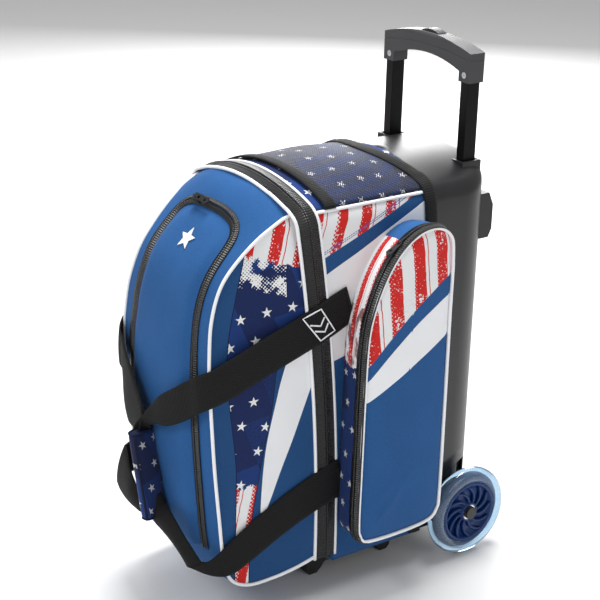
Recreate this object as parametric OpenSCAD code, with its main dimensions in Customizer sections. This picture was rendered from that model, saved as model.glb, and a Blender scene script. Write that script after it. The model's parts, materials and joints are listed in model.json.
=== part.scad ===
// Two-ball roller bag: soft front cover with a shoe pocket, ball compartment,
// moulded back shell, telescoping handle and two large rear wheels.
// Front faces -Y, the accessory pocket is on +X, +Z is up and the ground is z = 0.
// The origin is on the ground at mid-width, under the middle of the front foot.

/* [Body] */
// Width of the bag without its side pocket
body_w = 232; // [226:1:250]
// Underside of the soft body above the ground
body_z0 = 50; // [46:1:54]
// Height of the body's top side edge above the ground
body_z1 = 538; // [534:1:550]
// Rise of the top from its side edge to the middle
crown = 24; // [12:1:30]
// Padded wall thickness
wall = 6; // [4:0.5:7]
// Furthest back point of the moulded shell
shell_y = 244; // [242:1:250]
// Where the soft body meets the moulded shell
joint_y = 130; // [124:1:134]

/* [Front cover] */
// Most forward point of the front cover
lid_y = -200; // [-204:1:-196]
// Width of the shoe pocket flap
flap_w = 146; // [130:1:150]
// Lower edge of the shoe pocket flap
flap_z0 = 105; // [100:1:140]
// Upper edge of the shoe pocket flap
flap_z1 = 506; // [480:1:508]

/* [Side pocket] */
// How far the accessory pocket stands out from the side
acc_depth = 50; // [44:1:56]

/* [Wheels] */
// Outside diameter of the wheels
wheel_d = 127; // [120:1:128]
// Width of the tyre
tyre_w = 24; // [22:1:26]
// Distance from the front foot back to the wheel axle
axle_y = 213; // [210:1:216]

/* [Handle] */
// Height of the underside of the handle's end brackets, as drawn
grip_z = 655; // [655:1:700]
// Centre distance of the two handle tubes
tube_gap = 152.4; // [150:0.2:156]
// Width of the inner tube across the bag
tube_x = 14; // [13:1:14]
// Depth of the inner tube front to back
tube_d = 20; // [19:1:20]
// Wall of both tubes
tube_wall = 1.2; // [1:0.1:1.4]

/* [Carry straps] */
// Width of the webbing
strap_w = 46; // [40:1:50]
// Thickness of the webbing
strap_t = 2.5; // [2:0.1:3]

/* [Hidden] */
$fn = 48;

gap = 0.3;                      // clearance between soft neighbours
hw = body_w / 2;
wheel_r = wheel_d / 2;
ball_r = 108;                   // radius of the largest legal ball
cup_r = 80;                     // bore that a ball sits in
cup_h = 5 + ball_r - sqrt(pow(ball_r, 2) - pow(cup_r, 2));
ball_y = 89;
zip_y0 = -20;                   // main zipper at the bottom
zip_bend = 0.0002;              // how it leans forward with height
tape = 14;                      // width of one half of the zipper tape
pip = 4;                        // piping diameter
pip_h = 2.3;                    // how far it stands out, flattened under the webbing
tx = tube_gap / 2;
tube_y = 218;
clr = 0.8;                      // gap between inner and outer tube
out_x = tube_x + 2 * (clr + tube_wall);
out_d = tube_d + 2 * (clr + tube_wall);
tube_top = 551;                 // top end of the fixed tubes
tube_foot = 60;                 // bottom end of the fixed tubes
inner_foot = 172;               // bottom end of the sliding tubes
wheel_x0 = 139 - tyre_w;        // inner face of the tyre
wheel_xc = 139 - tyre_w / 2;
axle_r = 3.95;
housing_x = 90.8;              // inner face of the wheel housings
acc_x1 = hw + acc_depth;
acc_c = [115, 385];             // centre of the pocket's big top arc, y and z
acc_r = 118;
door_t = 2.7;

function zip_y(z) = zip_y0 - zip_bend * pow(z - 65, 2);
function arc(c, a, b, t0, t1, n) =
    [for (i = [0:n]) let (t = t0 + (t1 - t0) * i / n) [c[0] + a * cos(t), c[1] + b * sin(t)]];
function zip_line(dy, z_hi, z_lo, n) =
    [for (i = [0:n]) let (z = z_hi + (z_lo - z_hi) * i / n) [zip_y(z) + dy, z]];

// Front view outline (x, z), grown by o
function gate(o) = let (w = hw + o, r = 18, c = w - r, z1 = body_z1 + o) concat(
    [[-w, body_z0 - o], [w, body_z0 - o]],
    arc([c, z1 - r], r, r, 0, 70, 4),
    [for (i = [0:10]) let (x = c - 2 * c * i / 10) [x, z1 + crown * (1 - pow(x / c, 2))]],
    arc([-c, z1 - r], r, r, 110, 180, 4));

// Front of the cover in side view: y at height z on a squarish oval
lid_c = [-50, 320];
lid_h = body_z1 + crown - 2 - lid_c[1];
lid_n = 1.9;
function lid_front(z, o) = lid_c[0] - (lid_c[0] - lid_y + o)
    * pow(max(0, 1 - pow(abs(z - lid_c[1]) / (lid_h + o), lid_n)), 1 / lid_n);
// Side view outline of the front cover (y, z), grown by o, its open side moved by dy
function lid_profile(o, dy) = concat(
    zip_line(dy, body_z1 + crown + o, body_z0 - o, 9),
    arc([-146, 90], lid_c[0] - lid_y - 96 + o, 40 + o, 270, 180, 6),
    [for (i = [0:15]) let (z = lid_c[1] + (lid_h + o) * sin(5.4 * i)) [lid_front(z, o), z]]);

// Top view outline of the front cover (x, y), grown by o
function plan_half(o) = concat(
    [[hw + o, 20], [hw + o, -40]],
    arc([hw - 49, -156], 35 + o, 35 + o, 0, -78, 6),
    [for (x = [60, 40, 20]) [x, lid_y - o + 9 * pow(x / 75, 2)]]);
function flip(p) = [for (i = [len(p) - 1:-1:0]) [-p[i][0], p[i][1]]];
function lid_plan(o) = concat(plan_half(o), [[0, lid_y - o]], flip(plan_half(o)));

// Top view outline of the moulded shell (x, y), grown by o
function shell_half(o) = concat([[hw + o, joint_y - 10]],
    arc([hw - 55, shell_y - 55], 55 + o, 55 + o, 0, 90, 10));
function shell_plan(o) = concat(shell_half(o), flip(shell_half(o)));

// Side view outline of the accessory pocket (y, z), grown by o
function pocket(o) = concat(
    arc([20, 118], 23 + o, 23 + o, 270, 180, 4),
    arc(acc_c, acc_r + o, acc_r + o, 180, 98, 12),
    arc([100, 472], 30 + o, 30 + o, 85, 0, 5),
    arc([110, 115], 20 + o, 20 + o, 0, -90, 4));

module along_x(x0, x1) translate([x0, 0, 0]) rotate([90, 0, 90]) linear_extrude(x1 - x0) children();
module along_y(y0, y1) translate([0, y1, 0]) rotate([90, 0, 0]) linear_extrude(y1 - y0) children();
module box(a, b) translate(a) cube(b - a);
module pair() { children(); mirror([1, 0, 0]) children(); }
module rod_x(x0, x1, r, y, z) translate([x0, y, z]) rotate([0, 90, 0]) cylinder(h = x1 - x0, r = r);

module lid_solid(o, dy) intersection() {
    along_x(-hw - 20, hw + 20) polygon(lid_profile(o, dy));
    along_y(lid_y - 40, 40) polygon(gate(o));
    translate([0, 0, -10]) linear_extrude(620) polygon(lid_plan(o));
}
module body_solid(o, y0, y1) intersection() {
    along_x(-hw - 20, hw + 20)
        polygon(concat(zip_line(y0, body_z1 + crown + 20, body_z0 - 20, 12),
            [[y1, body_z0 - 20], [y1, body_z1 + crown + 20]]));
    along_y(-120, 300) polygon(gate(o));
}
module shell_solid(o, y0) intersection() {
    along_y(y0, shell_y + 10) polygon(gate(o));
    translate([0, 0, 0]) linear_extrude(620) polygon(shell_plan(o));
}

// ---- fixed body ----
module ball_shell() color("royalblue") difference() {
    body_solid(0, 1, joint_y);
    along_y(-120, 300) polygon(gate(-wall));
}

module back_shell() color("dimgray") difference() {
    shell_solid(0, joint_y + gap);
    shell_solid(-4, joint_y - 10);
    pair() {
        rod_x(hw - 14, hw + 8, wheel_r + 7, axle_y, wheel_r);
        box([82, 140, 40], [hw + 8, 250, 56]);
        translate([tx, tube_y, 560]) cube([out_x + 8.6, out_d + 8.6, 60], center = true);
    }
}

module chassis() color("#222") difference() {
    box([-104, -8, 42], [104, 236, body_z0 - gap]);
    pair() for (y = [24, 100]) translate([50, y, 30]) cylinder(h = 30, r = 2.55);
}

foot_side = concat([[-14, 41.7], [-10, 6], [-6, 0], [6, 0]],
    arc([62, 2], 50, 24, 170, 10, 10),
    [[114, 0], [126, 0], [131, 6], [134, 41.7]]);
module foot_skid() color("#1a1a1a") difference() {
    along_x(-66, 66) polygon(foot_side);
    pair() for (y = [24, 100]) translate([50, y, 0]) {
        cylinder(h = 60, r = 2.55);
        translate([0, 0, -1]) cylinder(h = 33, r = 5);
    }
}
module skid_screws() color("silver") pair() for (y = [24, 100]) translate([50, y, 0]) {
    translate([0, 0, 28.5]) cylinder(h = 3.4, r = 4.6);
    translate([0, 0, 31]) cylinder(h = 18, r = 2.5);
}

module wheel_housing() color("#222") difference() {
    union() {
        intersection() {
            rod_x(107, 111, wheel_r + 6, axle_y, wheel_r);
            box([80, 140, body_z0], [112, 239, 140]);
        }
        rod_x(housing_x, 110, 15, axle_y, wheel_r + 2);
        box([housing_x, axle_y - 15, body_z0], [110, axle_y + 15, wheel_r]);
    }
    rod_x(80, 120, axle_r + 0.05, axle_y, wheel_r);
    shell_cut();
}
module shell_cut() difference() {
    box([60, 120, 0], [200, 300, 200]);
    shell_solid(-4.3, joint_y + 10);
}
module wheel_housing_right() wheel_housing();
module wheel_housing_left() mirror([1, 0, 0]) wheel_housing();

module tube(x, y, w, d, z0, z1) translate([x, y, 0]) difference() {
    translate([-w / 2, -d / 2, z0]) cube([w, d, z1 - z0]);
    translate([-w / 2 + tube_wall, -d / 2 + tube_wall, z0 - 1])
        cube([w - 2 * tube_wall, d - 2 * tube_wall, z1 - z0 + 2]);
}
module tube_outer_right() color("#333") difference() {
    tube(tx, tube_y, out_x, out_d, tube_foot, tube_top);
    // slot for the latch pin, on the inboard wall
    box([tx - out_x / 2 - 1, tube_y - 3, tube_foot + 10], [tx - out_x / 2 + 3, tube_y + 3, tube_top - 40]);
}
module tube_outer_left() mirror([1, 0, 0]) tube_outer_right();

module tube_feet() color("#222") intersection() {
    pair() translate([tx, tube_y, 0]) difference() {
        translate([-14, -15, body_z0 + 4.2]) cube([28, 32, 20]);
        translate([-out_x / 2 - 0.1, -out_d / 2 - 0.1, tube_foot]) cube([out_x + 0.2, out_d + 0.2, 60]);
    }
    shell_solid(-4.6, joint_y);
}
module tube_collars() color("#1a1a1a") pair() translate([tx, tube_y, 0]) difference() {
    translate([-out_x / 2 - 4, -out_d / 2 - 4, 536]) cube([out_x + 8, out_d + 8, 17]);
    translate([-out_x / 2 - 0.1, -out_d / 2 - 0.1, 500]) cube([out_x + 0.2, out_d + 0.2, 60]);
}

module back_board() color("black") difference() {
    intersection() {
        box([-hw, 198, 56.3], [hw, 201, body_z1 - 2]);
        shell_solid(-6, joint_y);
    }
    pair() box([housing_x - 1, 190, 50], [hw, 210, 145]);
}
module shelf() color("#ddd") box([-109.5, -10, 288], [109.5, 196, 292]);
module shelf_cleats() color("#999") pair() box([104, 0, 280], [109.7, 128, 287.7]);

module cup(z) translate([0, ball_y, z]) difference() {
    cylinder(h = cup_h, r = cup_r + 20);
    translate([0, 0, 4]) cylinder(h = cup_h, r = cup_r);
}
module ball_cup_lower() color("#555") cup(body_z0 + wall + gap);
module ball_cup_upper() color("#555") cup(292.3);

// Band that follows the gate outline, between two offsets
module gate_band(o0, o1, z0) difference() {
    along_y(-140, 300) polygon(gate(o1));
    along_y(-141, 301) polygon(gate(o0));
    box([-300, -200, -50], [300, 400, z0]);
}
module slab_y(dy0, dy1) along_x(-hw - 20, hw + 20) polygon(concat(
    zip_line(dy0, body_z1 + crown + 20, body_z0, 12),
    zip_line(dy1, body_z0, body_z1 + crown + 20, 12)));
module zip_tape_body() color("black") intersection() { gate_band(gap, 1.2, 62); slab_y(0.6, tape); }
module zip_tape_lid() color("black") intersection() { gate_band(gap, 1.2, 62); slab_y(-tape, -0.6); }
module piping_body() color("white") difference() {
    intersection() { gate_band(gap, pip_h, 62); slab_y(tape + 0.2, tape + pip); }
    along_x(hw, acc_x1) polygon(pocket(gap));
}
module piping_lid() color("white") intersection() { gate_band(gap, pip_h, 62); slab_y(-tape - pip, -tape - 0.2); }

module mesh_pocket() color("midnightblue") intersection() {
    gate_band(gap, 1.8, 545);
    box([-120, -22, 500], [120, 97, 620]);
}
module mesh_binding() color("black") intersection() {
    gate_band(gap, 2.8, 541);
    union() {
        box([-120, -28, 500], [120, -22.3, 620]);
        box([-120, 97.3, 500], [120, 108, 620]);
    }
}

module rear_bumpers() color("#111") pair() difference() {
    intersection() {
        box([46, 225, 445], [94, shell_y + 12, 507]);
        along_x(40, 100) polygon([[220, 440], [shell_y + 4, 440], [shell_y + 12, 456],
            [shell_y + 12, 490], [shell_y + 2, 512], [220, 512]]);
    }
    shell_solid(0.1, joint_y);
}

// ---- accessory pocket ----
module acc_box() color("navy") difference() {
    along_x(hw + gap, acc_x1 - door_t - gap) polygon(pocket(0));
    along_x(hw + 2.5, acc_x1) polygon(pocket(-2.5));
}
module acc_zip_tape() color("black") difference() {
    along_x(hw + 32, acc_x1 - door_t - gap) polygon(pocket(1));
    along_x(hw, acc_x1) polygon(pocket(0.1));
    box([0, 120, 0], [300, 200, 600]);
    box([0, -50, 0], [300, 200, 120]);
}
module acc_door() color("royalblue") along_x(acc_x1 - door_t, acc_x1) polygon(pocket(0));

// ---- zipper sliders: x' is the pull's direction, z' points off the tape ----
module placed(p, xd, zd) {
    yd = cross(zd, xd);
    multmatrix([[xd[0], yd[0], zd[0], p[0]], [xd[1], yd[1], zd[1], p[1]],
        [xd[2], yd[2], zd[2], p[2]], [0, 0, 0, 1]]) children();
}
module slider_body() color("black") difference() {
    union() {
        box([-8, -5.5, 0], [8, 5.5, 3.2]);
        box([-5, -1.3, 3], [5, 1.3, 7]);
    }
    translate([3, 0, 5.2]) rotate([90, 0, 0]) cylinder(h = 8, r = 1.05, center = true);
}
module slider_pull() color("black") {
    translate([3, 0, 5.2]) rotate([90, 0, 0]) cylinder(h = 7, r = 1, center = true);
    for (s = [-1, 1]) translate([3, s * 2.6, 5.2]) rotate([90, 0, 0]) cylinder(h = 1.8, r = 1.6, center = true);
    for (s = [-2.6, 2.6]) translate([3, s - 0.9, 4.4]) cube([6, 1.8, 1.6]);
    translate([0, 0, 4.4]) linear_extrude(1.6) difference() {
        polygon([[8.5, -3.5], [24, -5], [28, 0], [24, 5], [8.5, 3.5]]);
        translate([20, 0]) circle(r = 2.2);
    }
}
acc_rest = 60;                  // how far up the arc the accessory slider rests
acc_slide_p = [acc_x1 - 10, acc_c[0] - (acc_r + 1.3) * cos(acc_rest), acc_c[1] + (acc_r + 1.3) * sin(acc_rest)];
acc_slide_x = [0, -sin(acc_rest), -cos(acc_rest)];
acc_slide_z = [0, -cos(acc_rest), sin(acc_rest)];
module acc_slider() placed(acc_slide_p, acc_slide_x, acc_slide_z) slider_body();
module acc_pull() placed(acc_slide_p, acc_slide_x, acc_slide_z) slider_pull();

shoe_h = 525;                   // height of the shoe pocket's zipper on the cover's front
shoe_n = [0, -pow((lid_c[0] - lid_front(shoe_h, 0)) / (lid_c[0] - lid_y), lid_n - 1) / (lid_c[0] - lid_y),
    pow((shoe_h - lid_c[1]) / lid_h, lid_n - 1) / lid_h];
shoe_z = shoe_n / norm(shoe_n);
shoe_p = [-26, lid_front(shoe_h, 0), shoe_h] + 2.2 * shoe_z;
module shoe_slider() placed(shoe_p, [1, 0, 0], shoe_z) slider_body();
module shoe_pull() placed(shoe_p, [1, 0, 0], shoe_z) slider_pull();

main_z = 215;                   // height where the main slider rests
main_p = [-hw - 1.6, zip_y(main_z + 70), main_z];
module main_slider() placed(main_p, [0, 0, -1], [-1, 0, 0]) slider_body();
module main_pull() placed(main_p, [0, 0, -1], [-1, 0, 0]) slider_pull();

// ---- front cover ----
function flap_pts(o) = let (w = flap_w / 2 + o, r = 26 + o, z0 = flap_z0 - o, z1 = flap_z1 + o) concat(
    [[-w, z0], [w, z0]], arc([w - r, z1 - r], r, r, 0, 90, 5), arc([r - w, z1 - r], r, r, 90, 180, 5));
module lid_shell() color("royalblue") difference() {
    lid_solid(0, -0.8);
    lid_solid(-5, 4);
    along_y(lid_y - 30, -100) polygon(flap_pts(-12));
}
module shoe_divider() color("#333") intersection() {
    along_y(-140, 100) polygon(gate(-7));
    lid_solid(-5.4, 2);
    slab_y(-6, -3);
}
module flap_ring(o0, o1, t0, t1) difference() {
    intersection() { lid_solid(t1, 4); along_y(lid_y - 30, -90) polygon(flap_pts(o1)); }
    lid_solid(t0, 8);
    if (o0 > -99) along_y(lid_y - 31, -89) polygon(flap_pts(o0));
}
module shoe_zip_tape() color("black") difference() {
    flap_ring(0.5, 13, gap, 1.6);
    box([-200, -260, 0], [200, 0, flap_z0 + 8]);
}
module shoe_flap() color("royalblue") flap_ring(-100, 0, gap, 5);

// ---- wheels ----
module tyre_right() color("lightblue") translate([wheel_xc, axle_y, wheel_r]) rotate([0, 90, 0])
    rotate_extrude($fn = 96) intersection() {
        translate([44, -tyre_w / 2]) square([wheel_r - 44, tyre_w]);
        union() {
            translate([wheel_r - tyre_w / 2, 0]) circle(r = tyre_w / 2);
            translate([44, -tyre_w / 2 + 2]) square([wheel_r - 44 - tyre_w / 2, tyre_w - 4]);
        }
    }
module blade(a) rotate([0, 0, a]) translate([0, 24, -4]) difference() {
    cylinder(h = 8, r = 15.5);
    translate([0, 0, -1]) cylinder(h = 10, r = 12.8);
    translate([-20, -20, -1]) cube([20, 40, 10]);
}
module hub_right() color("navy") translate([wheel_xc, axle_y, wheel_r]) rotate([0, 90, 0]) difference() {
    union() {
        difference() {
            cylinder(h = 18, r = 43.95, center = true, $fn = 96);
            cylinder(h = 20, r = 38.5, center = true, $fn = 96);
        }
        cylinder(h = 20, r = 14, center = true);
        for (i = [0:11]) blade(i * 30);
    }
    for (s = [-1, 1]) translate([0, 0, s * 7.6]) cylinder(h = 11.1, r = 11.02, center = true);
    cylinder(h = 30, r = 9, center = true);
}
module bearings_right() color("silver") translate([wheel_xc, axle_y, wheel_r]) rotate([0, 90, 0])
    for (s = [-1, 1]) translate([0, 0, s * 5.6]) difference() {
        cylinder(h = 7, r = 11, center = true);
        cylinder(h = 8, r = 4, center = true);
    }
module tyre_left() mirror([1, 0, 0]) tyre_right();
module hub_left() mirror([1, 0, 0]) hub_right();
module bearings_left() mirror([1, 0, 0]) bearings_right();
module axle_right() color("silver") union() {
    rod_x(housing_x + 0.4, 137, axle_r, axle_y, wheel_r);
    rod_x(136.4, 138.8, 6.5, axle_y, wheel_r);
    rod_x(111.2, 117.5, 6.5, axle_y, wheel_r);
}
module axle_left() mirror([1, 0, 0]) axle_right();
// Dust caps stand clear of the turning hub
module axle_caps() color("#111") pair() difference() {
    rod_x(137.5, 141.5, 9, axle_y, wheel_r);
    rod_x(130, 138.85, 6.6, axle_y, wheel_r);
}

// ---- telescoping handle ----
grip_hx = tx + 11;              // half length of the grip
grip_d = 24;
gy0 = tube_y - grip_d / 2;
gy1 = tube_y + grip_d / 2;
function bow(x, z, rise, half) = z + rise * (1 - pow(x / half, 2));
function bow_line(z, rise, half, x0, x1, n) =
    [for (i = [0:n]) let (x = x0 + (x1 - x0) * i / n) [x, bow(x, z, rise, half)]];
module grip_solid() intersection() {
    along_y(gy0, gy1) polygon(concat(
        [[-grip_hx, grip_z], [-grip_hx + 21, grip_z]],
        bow_line(grip_z + 13, 12, grip_hx - 21, -grip_hx + 21, grip_hx - 21, 12),
        [[grip_hx - 21, grip_z], [grip_hx, grip_z]],
        bow_line(grip_z + 38, 13, grip_hx, grip_hx, -grip_hx, 16)));
    along_x(-grip_hx, grip_hx) polygon(concat([[gy0, grip_z], [gy1, grip_z]],
        arc([gy1 - 7, grip_z + 45], 7, 7, 0, 90, 4), arc([gy0 + 7, grip_z + 45], 7, 7, 90, 180, 4)));
}
module below_split(s) along_y(gy0 - 5, gy1 + 5) polygon(concat(
    [[-grip_hx - 5, grip_z - 20], [grip_hx + 5, grip_z - 20]],
    bow_line(grip_z + 28 + s, 8, grip_hx, grip_hx + 5, -grip_hx - 5, 12)));
module grip_void() {
    box([-tx - 4, tube_y - 5.5, grip_z + 28], [tx + 4, tube_y + 5.5, grip_z + 38.5]);
    pair() translate([tx - 4.5, tube_y - 4.5, grip_z + 8]) cube([9, 9, 25]);
}
module grip_lower() color("#3a3a3a") difference() {
    intersection() { grip_solid(); below_split(0); }
    grip_void();
    pair() {
        translate([tx - tube_x / 2 - 0.1, tube_y - tube_d / 2 - 0.1, grip_z - 1])
            cube([tube_x + 0.2, tube_d + 0.2, 17]);
        translate([tx, gy0 - 1, grip_z + 9]) rotate([-90, 0, 0]) cylinder(h = 4, r = 4.1);
    }
}
module grip_upper() color("#333") difference() {
    grip_solid();
    below_split(0.2);
    grip_void();
    box([-17.2, tube_y - 7.2, grip_z + 30], [17.2, tube_y + 7.2, grip_z + 70]);
}
module grip_screws() color("silver") pair() translate([tx, gy0 + 0.2, grip_z + 9]) rotate([-90, 0, 0])
    difference() {
        cylinder(h = 1.6, r = 4);
        translate([0, 0, -1]) cylinder(h = 2, r = 1.5, $fn = 6);
    }
module tube_inner_right() color("#222") difference() {
    tube(tx, tube_y, tube_x, tube_d, inner_foot, grip_z + 15.5);
    box([tx - tube_x / 2 - 1, tube_y - 2.5, inner_foot + 6], [tx - tube_x / 2 + 3, tube_y + 2.5, inner_foot + 11]);
}
module tube_inner_left() mirror([1, 0, 0]) tube_inner_right();

latch_z = inner_foot + 8.5;
module latch_blocks() color("#555") pair() difference() {
    box([tx - tube_x / 2 + tube_wall + 0.1, tube_y - tube_d / 2 + tube_wall + 0.1, inner_foot],
        [tx + tube_x / 2 - tube_wall - 0.1, tube_y + tube_d / 2 - tube_wall - 0.1, inner_foot + 22]);
    rod_x(tx - tube_x, tx + 4.6, 2.25, tube_y, latch_z);
    translate([tx, tube_y, inner_foot + 12]) cylinder(h = 20, r = 1.8);
}
module latch_pin_right() color("silver") rod_x(tx - tube_x / 2 - 2.4, tx + 1, 2.2, tube_y, latch_z);
module latch_pin_left() mirror([1, 0, 0]) latch_pin_right();

module release_yoke() color("#777") union() {
    box([-tx - 3, tube_y - 4, grip_z + 33], [tx + 3, tube_y + 4, grip_z + 38]);
    pair() translate([tx, tube_y, inner_foot + 17]) cylinder(h = grip_z + 34 - inner_foot - 17, r = 1.75);
}
module button() color("#111") intersection() {
    box([-17, tube_y - 7, grip_z + 38.2], [17, tube_y + 7, grip_z + 56]);
    union() {
        box([-17, tube_y - 4, grip_z + 38.2], [17, tube_y + 4, grip_z + 45]);
        box([-17, tube_y - 7, grip_z + 44], [17, tube_y + 7, grip_z + 51]);
        along_y(tube_y - 7, tube_y + 7) polygon(concat([[-17, grip_z + 50], [17, grip_z + 50]],
            bow_line(grip_z + 51, 4, 17, 16, -16, 8)));
    }
}
// Close-wound return springs under the yoke ends
module return_springs() color("silver") pair() translate([tx, tube_y, 0])
    for (i = [0:10]) translate([0, 0, grip_z + 17 + i * 1.5])
        rotate_extrude() translate([3.1, 0]) circle(r = 0.8, $fn = 16);

// ---- carry straps ----
strap_x = hw + 2.6;
front_y = -220;
function run(pts, w) = concat([for (p = pts) [p[0], p[1] + w / 2]],
    [for (i = [len(pts) - 1:-1:0]) [pts[i][0], pts[i][1] - w / 2]]);
upper_side = [[-3, 402], [-31, 396], [-137, 361], [front_y, 338]];
lower_side = [[-5, 170], [-79, 147], [-151, 114], [front_y, 85]];
wrap_x = 10;                    // half thickness of the padded wrap between the two straps
// One strap: both runs along the side, both across the front, joined at x0 beside the wrap
module strap_half(x, x0) {
    along_x(x, x + strap_t) { polygon(run(upper_side, strap_w)); polygon(run(lower_side, strap_w)); }
    along_y(front_y, front_y + strap_t) {
        polygon(run([[x + strap_t, 338], [70, 300], [x0, 252]], strap_w));
        polygon(run([[x + strap_t, 85], [88, 88], [x0, 138]], strap_w));
        polygon([[x0, 272], [x0 + 20, 272], [x0 + 20, 120], [x0, 120]]);
    }
}
module strap_right() color("#181818") strap_half(strap_x, wrap_x + gap);
module strap_left() color("#181818") mirror([1, 0, 0]) strap_half(strap_x + 4, wrap_x + gap);
module strap_wrap() color("midnightblue") box([-wrap_x, front_y - 17, 130], [wrap_x, front_y + 13, 246]);
module strap_patch() color("#222")
    along_x(strap_x + strap_t + 0.1, strap_x + strap_t + 1.2)
        polygon([[-68, 402], [-40, 410], [-18, 378], [-44, 368]]);

ball_shell();
back_shell();
chassis();
foot_skid();
skid_screws();
wheel_housing_left();
wheel_housing_right();
tube_outer_left();
tube_outer_right();
tube_feet();
tube_collars();
back_board();
shelf();
shelf_cleats();
ball_cup_lower();
ball_cup_upper();
mesh_pocket();
mesh_binding();
rear_bumpers();
acc_box();
acc_zip_tape();
zip_tape_body();
piping_body();
axle_left();
axle_right();
axle_caps();
acc_door();
acc_slider();
acc_pull();
tyre_left();
tyre_right();
hub_left();
hub_right();
bearings_left();
bearings_right();
lid_shell();
shoe_divider();
zip_tape_lid();
piping_lid();
shoe_zip_tape();
shoe_flap();
shoe_slider();
shoe_pull();
main_slider();
main_pull();
tube_inner_left();
tube_inner_right();
grip_lower();
grip_upper();
grip_screws();
button();
release_yoke();
return_springs();
latch_blocks();
latch_pin_left();
latch_pin_right();
strap_right();
strap_left();
strap_wrap();
strap_patch();
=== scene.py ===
"""Looks of the two-ball roller bag: sewn fabric, vinyl piping, webbing and moulded parts.

Lengths are in millimetres in this file and become metres where a mesh is made.
Front faces -Y, the side pocket is on +X, +Z is up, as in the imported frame.
"""
import json
import math
from contextlib import contextmanager

import bmesh
import bpy
from mathutils import Matrix, Vector, noise


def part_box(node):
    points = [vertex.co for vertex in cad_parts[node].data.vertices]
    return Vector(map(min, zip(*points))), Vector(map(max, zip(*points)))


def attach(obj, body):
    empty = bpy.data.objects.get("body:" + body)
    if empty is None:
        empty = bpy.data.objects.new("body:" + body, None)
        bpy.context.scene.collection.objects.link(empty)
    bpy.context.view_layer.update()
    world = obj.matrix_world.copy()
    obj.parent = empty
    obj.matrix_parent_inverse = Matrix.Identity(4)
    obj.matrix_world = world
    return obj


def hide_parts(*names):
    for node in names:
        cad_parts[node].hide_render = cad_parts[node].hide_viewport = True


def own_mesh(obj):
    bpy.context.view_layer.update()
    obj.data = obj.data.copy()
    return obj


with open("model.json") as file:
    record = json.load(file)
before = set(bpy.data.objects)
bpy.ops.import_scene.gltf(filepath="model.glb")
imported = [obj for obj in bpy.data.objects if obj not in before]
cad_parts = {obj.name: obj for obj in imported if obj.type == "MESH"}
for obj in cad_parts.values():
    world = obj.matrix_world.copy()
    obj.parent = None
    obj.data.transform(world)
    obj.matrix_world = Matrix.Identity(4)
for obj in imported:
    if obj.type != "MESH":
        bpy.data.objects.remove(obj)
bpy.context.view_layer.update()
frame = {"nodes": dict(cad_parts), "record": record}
MM = 0.001


def box_mm(node):
    lo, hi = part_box(node)
    return Vector(lo) / MM, Vector(hi) / MM


# ---- driving sizes, read from the frame ----
body_lo, body_hi = box_mm("ball_shell")
shell_hi = box_mm("back_shell")[1]
door_hi = box_mm("acc_door")[1]
tyre_lo, tyre_hi = box_mm("tyre_right")
hub_lo, hub_hi = box_mm("hub_right")
flap_lo, flap_hi = box_mm("shoe_flap")
wrap_lo, wrap_hi = box_mm("strap_wrap")
HW = body_hi.x                    # half width of the body
Z0 = body_lo.z                    # underside of the body
TOP = body_hi.z                   # crown of the top
JOINT_Y = body_hi.y               # where fabric meets the moulded shell
BACK_Y = shell_hi.y
CORNER_R = 26.0                   # rounding of the top side edge
ROOF_TILT = math.radians(24)      # slope of the roof at that rounding
ZIP_Y0 = -20.0                    # main zipper at its foot, and how it leans forward
ZIP_BEND = 0.0002
TAPE = 14.0                       # half width of the main zipper
FRONT_HW = HW - 15.0              # half width of the cover at its front edge
PIPE_R = 2.2
COVER_T, BODY_T = 3.5, 4.5         # padded fabric of the cover and of the ball body
EDGE_TOP = 535.0                  # height of the cover at its zipper


def zip_y(z):
    return ZIP_Y0 - ZIP_BEND * (z - 65.0) ** 2


def clamp(v, a=0.0, b=1.0):
    return max(a, min(b, v))


def smooth(v, a=0.0, b=1.0):
    t = clamp((v - a) / (b - a))
    return t * t * (3 - 2 * t)


def lump(p, size, seed=0.0):
    """Smooth noise, -1 to 1, whose lumps are about `size` across."""
    return noise.noise(Vector(p) / size + Vector((seed, seed * 0.7, 3.1)))


# ---- the body's cross-section, by arc length u from the middle of the roof ----
CORNER_X = HW - CORNER_R
ROOF_R = CORNER_X / math.sin(ROOF_TILT) + CORNER_R
CORNER_Z = TOP - (ROOF_R - (ROOF_R - CORNER_R) * math.cos(ROOF_TILT))
U_ROOF = ROOF_R * ROOF_TILT
U_SIDE = U_ROOF + CORNER_R * (math.pi / 2 - ROOF_TILT)
U_END = U_SIDE + CORNER_Z - Z0
U_PIPE = U_ROOF + CORNER_R * (math.pi / 2 - ROOF_TILT) * 0.45


def section(u):
    """Point (x, z) and outward normal (x, z) at arc length u; u > 0 runs to +X."""
    s, a = (1 if u >= 0 else -1), abs(u)
    if a < U_ROOF:
        t = a / ROOF_R
        n = (math.sin(t), math.cos(t))
        p = (ROOF_R * n[0], TOP - ROOF_R + ROOF_R * n[1])
    elif a < U_SIDE:
        t = math.pi / 2 - ROOF_TILT - (a - U_ROOF) / CORNER_R
        n = (math.cos(t), math.sin(t))
        p = (CORNER_X + CORNER_R * n[0], CORNER_Z + CORNER_R * n[1])
    else:
        n = (1.0, 0.0)
        p = (HW, CORNER_Z - (a - U_SIDE))
    return (s * p[0], p[1]), (s * n[0], n[1])


def u_of_z(z):
    return U_SIDE + CORNER_Z - z


def body_pt(y, u, out=0.0):
    (x, z), (nx, nz) = section(u)
    return Vector((x + nx * out, y, z + nz * out))


def roof_z(x):
    return TOP - ROOF_R + math.sqrt(ROOF_R ** 2 - x * x)


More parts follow.
